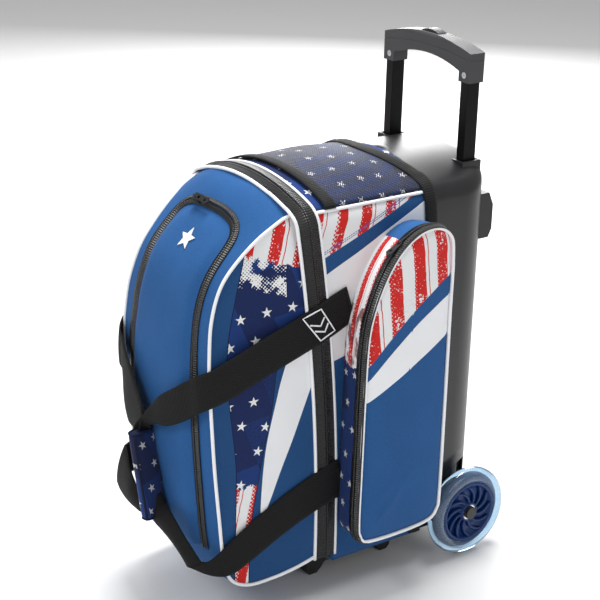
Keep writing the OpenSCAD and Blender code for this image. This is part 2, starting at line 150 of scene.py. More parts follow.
def edge_drop(d):
    """How far the roof falls where the nearest side is d away."""
    if d > HW - CORNER_X * 0.98:
        return 0.0
    x = HW - max(d, 0.0)
    if x <= ROOF_R * math.sin(ROOF_TILT):
        return 0.0
    t = math.sqrt(max(CORNER_R ** 2 - (x - CORNER_X) ** 2, 0.0))
    return max(roof_z(x) - CORNER_Z - t, 0.0)


# ---- polylines ----
class Line:
    """A smooth line through its points, read by arc length."""

    def __init__(self, points, rounds=12, closed=False):
        pts = [Vector(p) for p in points]
        self.points = []
        n = len(pts)
        for i in range(n if closed else n - 1):
            p0 = pts[(i - 1) % n] if closed or i > 0 else pts[0] * 2 - pts[1]
            p1, p2 = pts[i], pts[(i + 1) % n]
            p3 = pts[(i + 2) % n] if closed or i + 2 < n else pts[-1] * 2 - pts[-2]
            for k in range(rounds):
                t = k / rounds
                bend = (2 * p0 - 5 * p1 + 4 * p2 - p3) * t * t
                twist = (3 * p1 - p0 - 3 * p2 + p3) * t ** 3
                self.points.append(0.5 * ((2 * p1) + (p2 - p0) * t + bend + twist))
        self.points.append(pts[0].copy() if closed else pts[-1].copy())
        self.at_len = [0.0]
        for a, b in zip(self.points, self.points[1:]):
            self.at_len.append(self.at_len[-1] + (b - a).length)
        self.length = self.at_len[-1]

    def at(self, s):
        s = clamp(s, 0.0, self.length)
        lo, hi = 0, len(self.at_len) - 1
        while hi - lo > 1:
            mid = (lo + hi) // 2
            lo, hi = (mid, hi) if self.at_len[mid] <= s else (lo, mid)
        d = self.at_len[hi] - self.at_len[lo]
        return self.points[lo].lerp(self.points[hi], (s - self.at_len[lo]) / d if d else 0.0)

    def tangent(self, s, e=1.0):
        return (self.at(s + e) - self.at(s - e)).normalized()

    def spaced(self, step):
        return [self.at(s) for s in steps(0, self.length, step)]

    def crossings(self, z):
        """First coordinates where the second one is z."""
        out = []
        for a, b in zip(self.points, self.points[1:]):
            if (a.y > z) != (b.y > z):
                out.append(a.x + (b.x - a.x) * (z - a.y) / (b.y - a.y))
        return out


def away(line, s, centre):
    """The outline's normal at length s, pointing away from its centre."""
    t = line.tangent(s, 3.0)
    n = Vector((-t.y, t.x))
    return n if (line.at(s) - centre).dot(n) > 0 else -n


def steps(a, b, step):
    n = max(1, round(abs(b - a) / step))
    return [a + (b - a) * i / n for i in range(n + 1)]


# ---- the front cover: edge profile (y, z) from the zipper over the top, down and back ----
EDGE = Line([(-64, EDGE_TOP), (-88, 529), (-117, 511), (-147, 484), (-170, 454), (-184, 414),
        (-189, 373), (-190, 336), (-187, 290), (-182, 220), (-175, 150), (-169, 96), (-158, 62),
        (-134, 48), (-100, 49), (-66, 55), (-36, 63)])


def side_x(y, z):
    """Half width of the cover: it narrows to the front, tucks in at the roof and draws in high up."""
    narrow = (HW - FRONT_HW) * smooth(-y, 30, 200)
    tuck = 7.6 * smooth(z, CORNER_Z, CORNER_Z + 20) * smooth(y, -150, -64)
    draw = 11.0 * smooth(z, 330, 480) * smooth(-y, 40, 120)
    return HW - narrow - tuck - draw


def bulge(s):
    """How far the cover's middle stands out from its side edges."""
    return 27 - 23 * smooth(s, 0, 95) + 12 * smooth(s, 185, 380) - 9 * smooth(s, 430, 560)


def strip_pt(s, x, out=0.0):
    """Point of the cover's top, front and bottom at profile length s and side position x."""
    p, t = EDGE.at(s), EDGE.tangent(s, 4.0)
    f = clamp(abs(x) / side_x(p.x, p.y))
    rise = bulge(s) * (1 - f ** 2.8) + out
    return Vector((x, p.x + t.y * rise, p.y - t.x * rise))


def lid_side_pt(y, z, side=1, out=0.0):
    return Vector((side * (side_x(y, z) + out), y, z))


# ---- meshes ----
def placed(name, data):
    ob = bpy.data.objects.new(name, data)
    bpy.context.scene.collection.objects.link(ob)
    return ob


def shade(mesh, soft=True):
    mesh.polygons.foreach_set("use_smooth", [soft] * len(mesh.polygons))


def quads(rows, cols, round_rows=False, round_cols=False):
    """Faces between neighbouring rows and columns of points; either way may close on itself."""
    faces = []
    for i in range(rows if round_rows else rows - 1):
        k = (i + 1) % rows
        for j in range(cols if round_cols else cols - 1):
            q = (j + 1) % cols
            faces.append((i * cols + j, i * cols + q, k * cols + q, k * cols + j))
    return faces


def new_mesh(name, verts, faces, uv=None, mat=None, body=None):
    me = bpy.data.meshes.new(name)
    me.from_pydata([tuple(Vector(v) * MM) for v in verts], [], faces)
    if uv:
        layer = me.uv_layers.new(name="UVMap")
        for loop in me.loops:
            layer.data[loop.index].uv = uv[loop.vertex_index]
    if mat:
        me.materials.append(MAT[mat])
    shade(me)
    ob = placed(name, me)
    if body:
        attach(ob, body)
    return ob


INSIDE = Vector((0, 30, 300))


@contextmanager
def edited(mesh):
    """The mesh as a BMesh for the length of a with block, written back at its end."""
    bm = bmesh.new()
    bm.from_mesh(mesh)
    yield bm
    bm.to_mesh(mesh)
    bm.free()


def orient(ob, inside=INSIDE):
    """Turns a sheet's faces away from a point inside; a closed body's faces outwards."""
    with edited(ob.data) as bm:
        bmesh.ops.recalc_face_normals(bm, faces=bm.faces)
        if any(e.is_boundary for e in bm.edges):
            eye = inside * MM
            if sum((f.calc_center_median() - eye).dot(f.normal) * f.calc_area() for f in bm.faces) < 0:
                bmesh.ops.reverse_faces(bm, faces=bm.faces)


def grid(name, fn, us, vs, mat=None, body=None, uv=None, closed=False, inside=INSIDE):
    """A sheet of quads; fn(u, v) gives points, uv(u, v) the pattern's coordinates in millimetres."""
    verts = [fn(u, v) for u in us for v in vs]
    coords = [tuple(c * MM for c in (uv(u, v) if uv else (u, v))) for u in us for v in vs]
    ob = new_mesh(name, verts, quads(len(us), len(vs), closed), coords, mat, body)
    orient(ob, inside)
    return ob


def thicken(ob, t, offset=-1.0, rim=True, lined=False):
    m = ob.modifiers.new("thick", "SOLIDIFY")
    m.thickness, m.offset, m.use_rim = t * MM, offset, rim
    if lined:
        ob.data.materials.append(MAT["lining"])
        m.material_offset = 1
    return ob


def weld_spine(ob, n, dist=3.2):
    """Joins the two halves of a panel where their innermost rings meet."""
    with edited(ob.data) as bm:
        bm.verts.ensure_lookup_table()
        spine = [bm.verts[i] for i in range(n - 1, len(bm.verts), n)]
        bmesh.ops.remove_doubles(bm, verts=spine, dist=dist * MM)
        bmesh.ops.recalc_face_normals(bm, faces=bm.faces)
    orient(ob)


def sweep(name, pts, profile, normal, mat=None, body=None, closed=False):
    """Carries a closed profile of (across, out) pairs along the points; normal(i, p) is 'out'."""
    pts = [Vector(p) for p in pts]
    n, k = len(pts), len(profile)
    verts, uv, run = [], [], 0.0
    for i, p in enumerate(pts):
        if closed:
            t = pts[(i + 1) % n] - pts[(i - 1) % n]
        else:
            t = pts[min(i + 1, n - 1)] - pts[max(i - 1, 0)]
        t.normalize()
        out = Vector(normal(i, p) if callable(normal) else normal)
        out = (out - t * out.dot(t)).normalized()
        side = t.cross(out)
        if i:
            run += (p - pts[i - 1]).length
        around = 0.0
        for j, (a, o) in enumerate(profile):
            verts.append(p + side * a + out * o)
            if j:
                around += math.dist(profile[j], profile[j - 1])
            uv.append((run * MM, around * MM))
    faces = [(a, d, c, b) for a, b, c, d in quads(n, k, closed, True)]
    if not closed:
        faces.append(tuple(range(k)))
        faces.append(tuple((n - 1) * k + j for j in range(k))[::-1])
    return new_mesh(name, verts, faces, uv, mat, body)


def circle(r, n=8, rx=None):
    rx = rx or r
    return [(rx * math.cos(2 * math.pi * i / n), r * math.sin(2 * math.pi * i / n)) for i in range(n)]


def flat_band(w, t, n=4, crown=0.0):
    """Profile of a band w wide and t thick, its outer face crowned."""
    top = [(w * (0.5 - i / n), t + crown * (1 - (2 * i / n - 1) ** 2)) for i in range(n + 1)]
    return top + [(-w / 2, 0), (w / 2, 0)]


def beaded(w, t, bead_w, bead_h):
    """Profile of a zipper half: flat tape with one raised coil edge at +w/2."""
    e = w / 2
    return [(e, 0), (e, bead_h * 0.7), (e - bead_w * 0.3, bead_h), (e - bead_w * 0.75, bead_h * 0.9),
            (e - bead_w, t), (-e, t), (-e, 0)]


def other_half(profile):
    return [(-a, o) for a, o in reversed(profile)]


# ---- procedural materials ----
class Sock:
    """A shader value that takes part in sums."""

    def __init__(self, tree, value):
        self.tree, self.value = tree, value

    def op(self, kind, *others):
        n = self.tree.nodes.new("ShaderNodeMath")
        n.operation = kind
        for i, v in enumerate((self,) + others):
            plug(self.tree, n.inputs[i], v)
        return Sock(self.tree, n.outputs[0])

    def __add__(self, o): return self.op("ADD", o)
    def __sub__(self, o): return self.op("SUBTRACT", o)
    def __mul__(self, o): return self.op("MULTIPLY", o)
    def __truediv__(self, o): return self.op("DIVIDE", o)
    def __radd__(self, o): return self.op("ADD", o)
    def __rmul__(self, o): return self.op("MULTIPLY", o)
    def __rsub__(self, o): return (self * -1.0).op("ADD", o)
    def __lt__(self, o): return self.op("LESS_THAN", o)
    def __gt__(self, o): return self.op("GREATER_THAN", o)
    def sin(self): return self.op("SINE")
    def floor(self): return self.op("FLOOR")
    def fract(self): return self.op("FRACT")
    def abs(self): return self.op("ABSOLUTE")
    def max(self, o): return self.op("MAXIMUM", o)
    def min(self, o): return self.op("MINIMUM", o)

    def ramp(self, a, b, to_a=0.0, to_b=1.0):
        n = self.tree.nodes.new("ShaderNodeMapRange")
        n.interpolation_type = "SMOOTHSTEP"
        plug(self.tree, n.inputs["Value"], self)
        for k, v in (("From Min", a), ("From Max", b), ("To Min", to_a), ("To Max", to_b)):
            plug(self.tree, n.inputs[k], v)
        return Sock(self.tree, n.outputs["Result"])


def plug(tree, socket, v):
    if isinstance(v, Sock):
        tree.links.new(v.value, socket)
    elif isinstance(v, bpy.types.NodeSocket):
        tree.links.new(v, socket)
    elif v is not None:
        if socket.type == "RGBA" and len(v) == 3:
            v = (*v, 1.0)
        socket.default_value = v


class Mat:
    """Builds one material's nodes."""

    def __init__(self, name, rough=0.7, sheen=0.0, spec=0.5, coat=0.0, metal=0.0, coat_rough=0.1):
        self.mat = bpy.data.materials.new(name)
        self.mat.use_nodes = True
        self.tree = self.mat.node_tree
        self.bsdf = self.tree.nodes["Principled BSDF"]
        b = self.bsdf.inputs
        b["Roughness"].default_value = rough
        b["Sheen Weight"].default_value = sheen
        b["Sheen Roughness"].default_value = 0.4
        b["Specular IOR Level"].default_value = spec
        b["Coat Weight"].default_value = coat
        b["Coat Roughness"].default_value = coat_rough
        b["Metallic"].default_value = metal
        self.bumps = []

    def node(self, kind, **values):
        n = self.tree.nodes.new(kind)
        for k, v in values.items():
            if k in n.inputs:
                plug(self.tree, n.inputs[k], v)
            else:
                setattr(n, k, v)
        return n

    def parts(self, vec):
        s = self.node("ShaderNodeSeparateXYZ", Vector=vec)
        return [Sock(self.tree, s.outputs[i]) for i in range(3)]

    def uv(self):
        return self.parts(self.node("ShaderNodeTexCoord").outputs["UV"])[:2]

    def xyz(self):
        return self.parts(self.node("ShaderNodeTexCoord").outputs["Object"])

    def join(self, x, y, z=0.0):
        n = self.node("ShaderNodeCombineXYZ", X=x, Y=y, Z=z)
        return n.outputs[0]

    def place(self, vec):
        return self.join(*vec) if isinstance(vec, tuple) else vec

    def noise(self, vec, scale, detail=2.0, rough=0.5):
        vec = self.place(vec)
        n = self.node("ShaderNodeTexNoise", Vector=vec, Scale=scale, Detail=detail, Roughness=rough)
        return Sock(self.tree, n.outputs["Fac"])

    def random(self, vec):
        n = self.node("ShaderNodeTexWhiteNoise", Vector=self.place(vec))
        return self.parts(n.outputs["Color"])

    def mix(self, fac, a, b):
        n = self.tree.nodes.new("ShaderNodeMix")
        n.data_type = "RGBA"
        plug(self.tree, n.inputs[0], fac)
        plug(self.tree, n.inputs[6], a)
        plug(self.tree, n.inputs[7], b)
        return n.outputs[2]

    def bump(self, height, distance, strength=1.0):
        self.bumps.append((height, distance, strength))

    def done(self, colour, rough=None):
        plug(self.tree, self.bsdf.inputs["Base Color"], colour)
        if rough is not None:
            plug(self.tree, self.bsdf.inputs["Roughness"], rough)
        last = None
        for h, d, s in self.bumps:
            n = self.node("ShaderNodeBump", Height=h, Distance=d * MM, Strength=s)
            if last:
                plug(self.tree, n.inputs["Normal"], last)
            last = n.outputs[0]
        if last:
            plug(self.tree, self.bsdf.inputs["Normal"], last)
        return self.mat


TAU = 2 * math.pi
# BLUE is the shaded copy and BLUE_LIT the lit copy of the cover's blue: painted shade and painted light
BLUE = (0.012, 0.070, 0.225)
BLUE_LIT = (0.026, 0.130, 0.365)
NAVY = (0.007, 0.010, 0.045)
ROYAL = (0.008, 0.030, 0.135)
RED = (0.62, 0.022, 0.018)
WHITE = (0.80, 0.80, 0.80)


def weave(m, u, v, pitch=0.0016, depth=0.12):
    """Plain weave: crossing threads, their bump, and a colour factor from thread to thread."""
    a = (u * (TAU / pitch)).sin()
    b = (v * (TAU / pitch)).sin()
    if not m.bumps:
        m.bump(a * b, depth, 0.6)
    slub = m.noise((u * 0.25, v), 900.0, 3.0) * 0.5 + m.noise((u, v * 0.25), 900.0, 3.0) * 0.5
    return a * b * 0.5 + 0.5, slub


def cloth_blue(m, u, v, dark=1.0):
    thread, slub = weave(m, u, v)
    wide = m.noise((u, v), 14.0, 3.0)
    k = thread * 0.22 + slub * 0.75 + wide * 0.35 - 0.12
    # mixes the shaded copy (BLUE x0.62) and the lit copy (BLUE_LIT) by noise: painted light and shade in
    # random patches; dark below 1 darkens both as painted shade
    return m.mix(k, tuple(c * 0.62 * dark for c in BLUE), tuple(c * dark for c in BLUE_LIT))


def star(x, y, radius, turn=0.0):
    """1 inside a five-pointed star centred on the origin, one tip up."""
    r = (x * x + y * y).op("SQRT")
    t = (x.op("ARCTAN2", y) + turn).op("PINGPONG", math.pi / 5)
    return (r * (t - math.radians(72)).op("COSINE")) < (radius * 0.309)


def star_field(m, u, v, across=0.040, up=0.034, radius=0.0072, jitter=0.28, wanted=1.0):
    """Staggered rows of white stars."""
    row = (v / up).floor()
    x = u / across + (row * 0.5).fract() + 0.25
    col = x.floor()
    r = m.random((col, row, 0.5))
    lx = (x.fract() - 0.5 - (r[0] - 0.5) * jitter) * across
    ly = ((v / up).fract() - 0.5 - (r[1] - 0.5) * jitter) * up
    return star(lx, ly, radius, (r[2] - 0.5) * 0.5) * (r[2] < wanted)


def navy_print(m, u, v, **stars):
    """Navy cloth printed with royal patches and white stars."""
    thread, slub = weave(m, u, v)
    warp = m.noise((u, v), 60.0, 4.0)
    x = (u + v * 0.35 + warp * 0.006) / 0.044
    y = (v - u * 0.22 + warp * 0.006) / 0.062
    patch = m.random(m.join(x.floor(), y.floor(), 2.0))[0]
    grain = m.noise((u, v), 420.0, 3.0)
    royal = (patch + grain * 0.24 - 0.12).ramp(0.52, 0.62)
    base = m.mix(royal, NAVY, ROYAL)
    base = m.mix((slub * 0.5 + thread * 0.2) * 0.55, base, tuple(c * 1.9 for c in ROYAL))
    mask = star_field(m, u, v, **stars) * (m.noise((u, v), 1100.0, 2.0) > 0.33)
    return m.mix(mask, base, WHITE)


def dots(a, b, pitch, size):
    """Halftone dots on a grid turned by 45 degrees; size 0 to 1 sets how large."""
    p = ((a + b) * (TAU / pitch)).sin() + ((a - b) * (TAU / pitch)).sin()
    return p > (2.0 - size * 3.4)


def stripes(m, s, v, pitch=0.036, shift=0.0, seed=0.0):
    """Distressed red stripes on off-white: one solid side, one side fading into dots, and a thin line."""
    wob = m.noise((s * 0.3, v, seed), 45.0, 3.0)
    x = (s + wob * 0.004) / pitch + shift
    f, k = x.fract(), x.floor()
    r = m.random((k, seed, 1.0))
    wide = 0.30 + r[0] * 0.12
    solid = (f > (0.72 - wide)) * (f < 0.72)
    fade = (f - (0.72 - wide)) / (wide + 0.10) * -1.0
    spots = dots(s, v, 0.0052, (1.15 - fade * 1.2) * (r[1] * 0.5 + 0.6))
    spots = spots * (f > (0.60 - wide)) * (f < (0.74 - wide))
    line = ((f - 0.86).abs() < 0.018) * (r[2] > 0.45)
    worn = m.noise((s, v, seed), 330.0, 4.0, 0.62)
    eaten = (worn + (m.noise((s, v, seed + 4.0), 42.0, 2.0) - 0.5) * 0.5) > 0.615
    red = (solid * (1.0 - eaten)).max(spots).max(line)
    slub = weave(m, s, v)[1]
    grey = m.noise((s, v, seed), 26.0, 5.0, 0.7).ramp(0.5, 0.75)
    speck = m.noise((s, v), 300.0, 3.0).ramp(0.52, 0.68)
    paper = m.mix(grey * speck * 0.5, (0.78, 0.79, 0.80), (0.42, 0.43, 0.40))
    paper = m.mix(slub * 0.18, paper, (0.62, 0.64, 0.68))
    return m.mix(red, paper, m.mix(slub * 0.4, RED, (0.42, 0.01, 0.01)))


def fabric(name, paint, rough=0.8, sheen=0.05, spec=0.2):
    m = Mat(name, rough=rough, sheen=sheen, spec=spec)
    u, v = m.uv()
    return m.done(paint(m, u, v))


def vinyl_white(m, u, v):
    cloudy = m.noise((u, v), 20.0, 3.0)
    m.bump(m.noise((u, v), 900.0, 3.0), 0.05, 0.4)
    return m.mix(cloudy * 0.35, (0.84, 0.85, 0.87), (0.70, 0.72, 0.76))


def stitch(a, b, length=0.0032, width=0.0006):
    """Dashes of thread along a where b is near zero."""
    return (b.abs() < width) * ((a / length).fract() < 0.72)


def sew(m, *lines):
    """A groove in the cloth where any of the lines is near zero."""
    near = lines[0].abs()
    for line in lines[1:]:
        near = near.min(line.abs())
    m.bump(1.0 - (near * 700.0).min(1.0), -0.5, 0.5)


def clouded(m, u, v, size, amount, light, dark):
    return m.mix(m.noise((u, v), size, 2.0) * amount, light, dark)


# ---- panel artwork; u is y and v is z on side panels, in metres ----
def paint_lid_side(m, u, v):
    left = v.ramp(0.20, 0.347, -0.152, -0.165) + v.ramp(0.36, 0.52, 0.0, 0.030)
    right = v.ramp(0.10, 0.36, -0.132, -0.100) + v.ramp(0.33, 0.47, 0.0, 0.070)
    rise = v - 0.149
    swoosh = (u > rise * rise * 0.822 - 0.1185) * (u < rise * 0.39 - 0.1115) * (v < 0.40) * (v > 0.149)
    band = (u > left) * (u < right)
    ragged = m.noise((u, v), 130.0, 5.0, 0.7) * 0.030
    top = v > (u * -0.32 + 0.430 + ragged)
    low = v < (ragged + 0.175)
    # the blue wedge darkened (x0.70) on the side-facing panel: painted shade
    blue = cloth_blue(m, u, v, 0.70)
    stars = navy_print(m, u, v, across=0.034, up=0.036)
    bars = stripes(m, u + (v - 0.5) * -0.18, v, pitch=0.034, shift=0.32, seed=3.0)
    smear = dots(u, v, 0.0046, m.noise((u, v), 55.0, 2.0).ramp(0.42, 0.6))
    smear = smear * (v > (u * -0.32 + 0.405)) * (u < -0.085)
    out = m.mix(smear, stars, WHITE)
    out = m.mix(top.max(low), out, bars)
    out = m.mix(band, blue, out)
    seams = ((u - left).abs() < 0.0006).max((u - right).abs() < 0.0006)
    out = m.mix(swoosh, out, clouded(m, u, v, 18.0, 0.3, (0.82, 0.83, 0.85), (0.66, 0.68, 0.72)))
    sew(m, u - left, u - right)
    return m.mix(seams, out, NAVY)


def paint_body_side(m, u, v):
    up = u * 0.415 + 0.4886
    lo = u * 0.469 + 0.467
    bars = stripes(m, u - (v - 0.5) * 0.28, v, pitch=0.037, shift=0.85, seed=1.0)
    for off in (0.0050, 0.0078):
        bars = m.mix(stitch(u, v - up - off), bars, (0.05, 0.09, 0.35))
    white = clouded(m, u, v, 16.0, 0.35, (0.82, 0.83, 0.85), (0.68, 0.70, 0.74))
    # the blue darkened (x0.82) on the side-facing panel: painted shade
    blue = cloth_blue(m, u, v, 0.82)
    out = m.mix(v > (u * 0.25 + 0.3385), blue, white)
    out = m.mix(v > lo, out, blue)
    out = m.mix(v > up, out, bars)
    sew(m, v - up, v - lo)
    return out


def paint_door(m, u, v):
    arch = (u - 0.01) * (u * -1.0 + 0.125) * 2.7
    up = u * 0.79 + 0.340 + arch
    lo = u * 0.73 + 0.321 + arch
    low = u * 0.55 + 0.290
    bars = stripes(m, u + (v - 0.4) * 0.10, v, pitch=0.037, shift=0.30, seed=7.0)
    white = clouded(m, u, v, 16.0, 0.3, (0.83, 0.84, 0.86), (0.70, 0.72, 0.76))
    # the blue darkened a little (x0.95) on the side-facing door: painted shade
    blue = cloth_blue(m, u, v, 0.95)
    out = m.mix(v > low, blue, white)
    out = m.mix(v > lo, out, blue)
    out = m.mix(v > up, out, bars)
    sew(m, v - up, v - lo, v - low)
    return out


def paint_gusset(m, u, v):
    """u runs across the pocket's depth, v along its edge from the bottom front corner."""
    stars = navy_print(m, u, v, across=0.022, up=0.036, radius=0.0062, jitter=0.2)
    bars = stripes(m, u * 1.6 + v * 0.04, v, pitch=0.030, shift=0.2, seed=5.0)
    # painted shade: noise patches darken the red bars to deep red low on the pocket's front edge
    shade = m.noise((u * 3.0, v), 40.0, 3.0).ramp(0.45, 0.6)
    bars = m.mix(shade * (v < 0.325) * 0.85, bars, (0.12, 0.012, 0.02))
    stars = m.mix(0.35, stars, (0.003, 0.004, 0.014))
    out = m.mix(v > (m.noise((u, v), 90.0, 4.0) * 0.03 + 0.232), stars, bars)
    out = m.mix(v > 0.420, out, cloth_blue(m, u, v))
    return m.mix(v < 0.0, out, cloth_blue(m, u, v, 0.7))


def paint_mesh(m, u, v):
    print_ = navy_print(m, u, v, across=0.032, up=0.034, radius=0.0066)
    d = ((u + v * 0.8) * (TAU / 0.0030)).sin()
    e = ((u - v * 0.8) * (TAU / 0.0060)).sin()
    m.bump(d.max(e), 0.35, 0.8)
    return m.mix((d > -0.10).max(e > 0.70) * 0.74 + 0.18, print_, (0.019, 0.018, 0.020))


MAT = {
    "blue": fabric("blue_600d", lambda m, u, v: cloth_blue(m, u, v)),
    # a darker copy of the blue (x0.75): painted shade, used on the underside and the pocket's hinge cloth
    "blue_painted_shade": fabric("blue_600d_painted_shade", lambda m, u, v: cloth_blue(m, u, v, 0.75)),
    "stars": fabric("star_print", lambda m, u, v: navy_print(m, u, v)),
    "lid_side": fabric("cover_side_print", paint_lid_side),
    "body_side": fabric("body_side_print", paint_body_side),
    "door": fabric("pocket_print", paint_door),
    "gusset": fabric("pocket_gusset_print", paint_gusset),
    "mesh": fabric("net_over_print", paint_mesh, rough=0.6),
    "white": fabric("white_vinyl_piping", vinyl_white, rough=0.42, sheen=0.0, spec=0.45),
}


def simple(name, colour, vary=0.25, grain=900.0, depth=0.06, **kw):
    """Moulded or coated surface with a fine grain and uneven tone and gloss."""
    m = Mat(name, **kw)
    p = m.join(*m.xyz())
    g = m.noise(p, grain, 4.0, 0.6)
    wide = m.noise(p, 22.0, 3.0)
    m.bump(g, depth, 0.7)
    light = tuple(min(1.0, c * (1 + vary * 2) + 0.004) for c in colour)
    gloss = (wide - 0.5) * 0.16 + (g - 0.5) * 0.10 + kw.get("rough", 0.5)
    return m.done(m.mix(wide * 0.6 + g * 0.4 - 0.25, colour, light), gloss)


def webbing(name, colour, rib=0.0024):
    m = Mat(name, rough=0.75, sheen=0.02, spec=0.16)
    u, v = m.uv()
    ribs = (u * (TAU / rib)).sin()
    lines = (v * (TAU / 0.0034)).sin()
    m.bump(ribs * 0.7 + lines * 0.3, 0.35, 0.7)
    slub = m.noise((u, v), 600.0, 3.0)
    return m.done(m.mix(ribs * 0.25 + slub * 0.5, colour, tuple(c * 2.0 + 0.002 for c in colour)))


def coil(name):
    """Nylon coil: fine teeth across the run."""
    m = Mat(name, rough=0.40, spec=0.5)
    u = m.uv()[0]
    teeth = (u * (TAU / 0.0030)).sin()
    m.bump(teeth, 0.5, 0.9)
    return m.done(m.mix(teeth * 0.5 + 0.5, (0.005, 0.005, 0.0055), (0.018, 0.018, 0.019)))


MAT["edge"] = simple("navy_edge_tape", (0.006, 0.008, 0.026), rough=0.75, grain=900.0, spec=0.2)
MAT["web"] = webbing("black_webbing", (0.007, 0.007, 0.0075))
MAT["binding"] = webbing("black_binding_tape", (0.010, 0.010, 0.010), 0.0030)
MAT["coil"] = coil("zipper_coil_and_tape")
MAT["lining"] = simple("grey_lining", (0.045, 0.047, 0.052), rough=0.85, grain=700.0, spec=0.2)
MAT["shell"] = simple("moulded_shell_black", (0.0085, 0.0088, 0.0098), rough=0.36, grain=520.0, depth=0.10)
MAT["plastic"] = simple("black_moulded_plastic", (0.008, 0.008, 0.0085), rough=0.45, grain=800.0)
MAT["grip"] = simple("charcoal_grip", (0.036, 0.037, 0.039), rough=0.50, grain=600.0)
MAT["tube"] = simple("black_coated_tube", (0.003, 0.003, 0.0035), rough=0.42, grain=1500.0, depth=0.02,
        spec=0.14)
MAT["steel"] = simple("steel", (0.55, 0.55, 0.57), rough=0.28, metal=1.0, depth=0.02, grain=1500.0)
MAT["foam"] = simple("grey_foam", (0.10, 0.10, 0.11), rough=0.95, grain=1400.0, depth=0.4, spec=0.1)
MAT["board"] = simple("stiffener_board", (0.10, 0.10, 0.11), rough=0.8, grain=300.0, spec=0.2)
MAT["hub"] = simple("navy_hub", (0.003, 0.026, 0.120), rough=0.38, grain=900.0, depth=0.03, spec=0.3)


def clear_blue(name):
    m = Mat(name, rough=0.06, spec=0.5, coat=0.3, coat_rough=0.03)
    b = m.bsdf.inputs
    b["Transmission Weight"].default_value = 0.88
    b["IOR"].default_value = 1.38
    p = m.join(*m.xyz())
    cloudy = m.noise(p, 30.0, 2.0)
    m.bump(m.noise(p, 260.0, 2.0), 0.05, 0.3)
    return m.done(m.mix(cloudy, (0.36, 0.60, 0.84), (0.58, 0.78, 0.94)))


MAT["tyre"] = clear_blue("clear_blue_urethane")

# ---- front cover ----
lid_s = steps(0, EDGE.length, 5.5)
cross = [math.copysign(1 - (1 - abs(f)) ** 1.25, f) for f in steps(-1, 1, 0.04)]


def soft_strip(s, f):
    """The cover's main strip, with slack in the cloth."""
    x = f * side_x(*EDGE.at(s))
    loose = (1 - f ** 4) * smooth(s, 0, 40) * smooth(EDGE.length - s, 0, 60)
    out = (lump((s, x, 0), 75, 1) * 1.8 + lump((s * 0.35, x, 5), 26, 2) * 0.9) * loose
    return strip_pt(s, x, out)


lid_front = grid("lid_front", soft_strip, lid_s, cross, "blue", "lid",
        uv=lambda s, f: (f * side_x(*EDGE.at(s)), -s))
thicken(lid_front, COVER_T, lined=True)


def lid_rows():
    """For each height, how far forward and back the side panel reaches."""
    zs = [v / 2 for v in range(97, 1071, 16)] + [534.6]
    rows = []
    for z in zs:
        ys = sorted(EDGE.crossings(z))
        back = zip_y(z) - 9
        if len(ys) > 1:
            back = min(back, ys[-1])
        rows.append((z, min(ys[0], back), back))
    return rows


def lid_side(side, name):
    rows = lid_rows()

    def pt(i, t):
        z, y0, y1 = rows[int(i)]
        y = y0 + (y1 - y0) * t
        puff = 2.4 * math.sin(math.pi * clamp(t, 0.02, 1)) * smooth(z, 48, 120) * smooth(-z, -535, -470)
        slack = lump((y, z, 0), 60, 4 + side) * 1.4 + lump((y, z * 0.4, 9), 22, 5 + side) * 0.5
        return lid_side_pt(y, z, side, puff + slack * math.sin(math.pi * t))

    ob = grid(name, pt, range(len(rows)), steps(0, 1, 0.03), "lid_side", "lid",
            uv=lambda i, t: (pt(i, t).y, rows[int(i)][0]))
    thicken(ob, COVER_T, lined=True)
    edge = [Vector((side * (side_x(*p) + 1.0), p.x, p.y)) for p in EDGE.spaced(5)]
    sweep(name.replace("side", "edge_piping"), edge, circle(PIPE_R, 10), (side, -0.4, 0), "white", "lid")


lid_side(1, "lid_side_right")
lid_side(-1, "lid_side_left")


# ---- main zipper: tapes, coils and piping over an upside-down U ----
def zip_path(off, out, foot=58.0, step=5.0):
    """Points along the gate at `off` behind the zipper's centre line, with outward normals."""
    top_u = u_of_z(foot)
    pts, normals = [], []
    for u in steps(-top_u, top_u, step):
        (x, z), (nx, nz) = section(u)
        y = zip_y(z) + off
        drop = 0.0
        if off < 0:
            zs = [p.y for p in EDGE.points if abs(p.x - y) < 4 and p.y > 400]
            drop = (EDGE_TOP - (zs[0] if zs else EDGE_TOP)) * smooth(nz, 0.2, 0.9) * 0.9
        pts.append(Vector((x + nx * out, y, z + nz * out - drop)))
        normals.append(Vector((nx, 0, nz)))
    return pts, normals


def zip_band(name, off, profile, mat, body, out=0.4):
    pts, normals = zip_path(off, out)
    return sweep(name, pts, profile, lambda i, p: normals[i], mat, body)


half = TAPE / 2
zip_lid = zip_band("main_zip_tape_lid", -half, other_half(beaded(TAPE, 1.4, 3.6, 3.2)), "coil", "lid")
zip_body = zip_band("main_zip_tape_body", half, beaded(TAPE, 1.4, 3.6, 3.2), "coil", "root")
pipe_lid = zip_band("main_piping_lid", -TAPE - 2.0, circle(PIPE_R, 10), "white", "lid", 1.0)
pipe_body = zip_band("main_piping_body", TAPE + 2.0, circle(PIPE_R, 10), "white", "root", 1.0)

# ---- rear body ----
y_rows = steps(0, 1, 0.035)


def ball_y(u, t):
    """From the main zipper, t = 0, back to the shell, t = 1."""
    y0 = zip_y(section(u)[0][1]) + TAPE - 1
    return y0 + (JOINT_Y + 4 - y0) * t


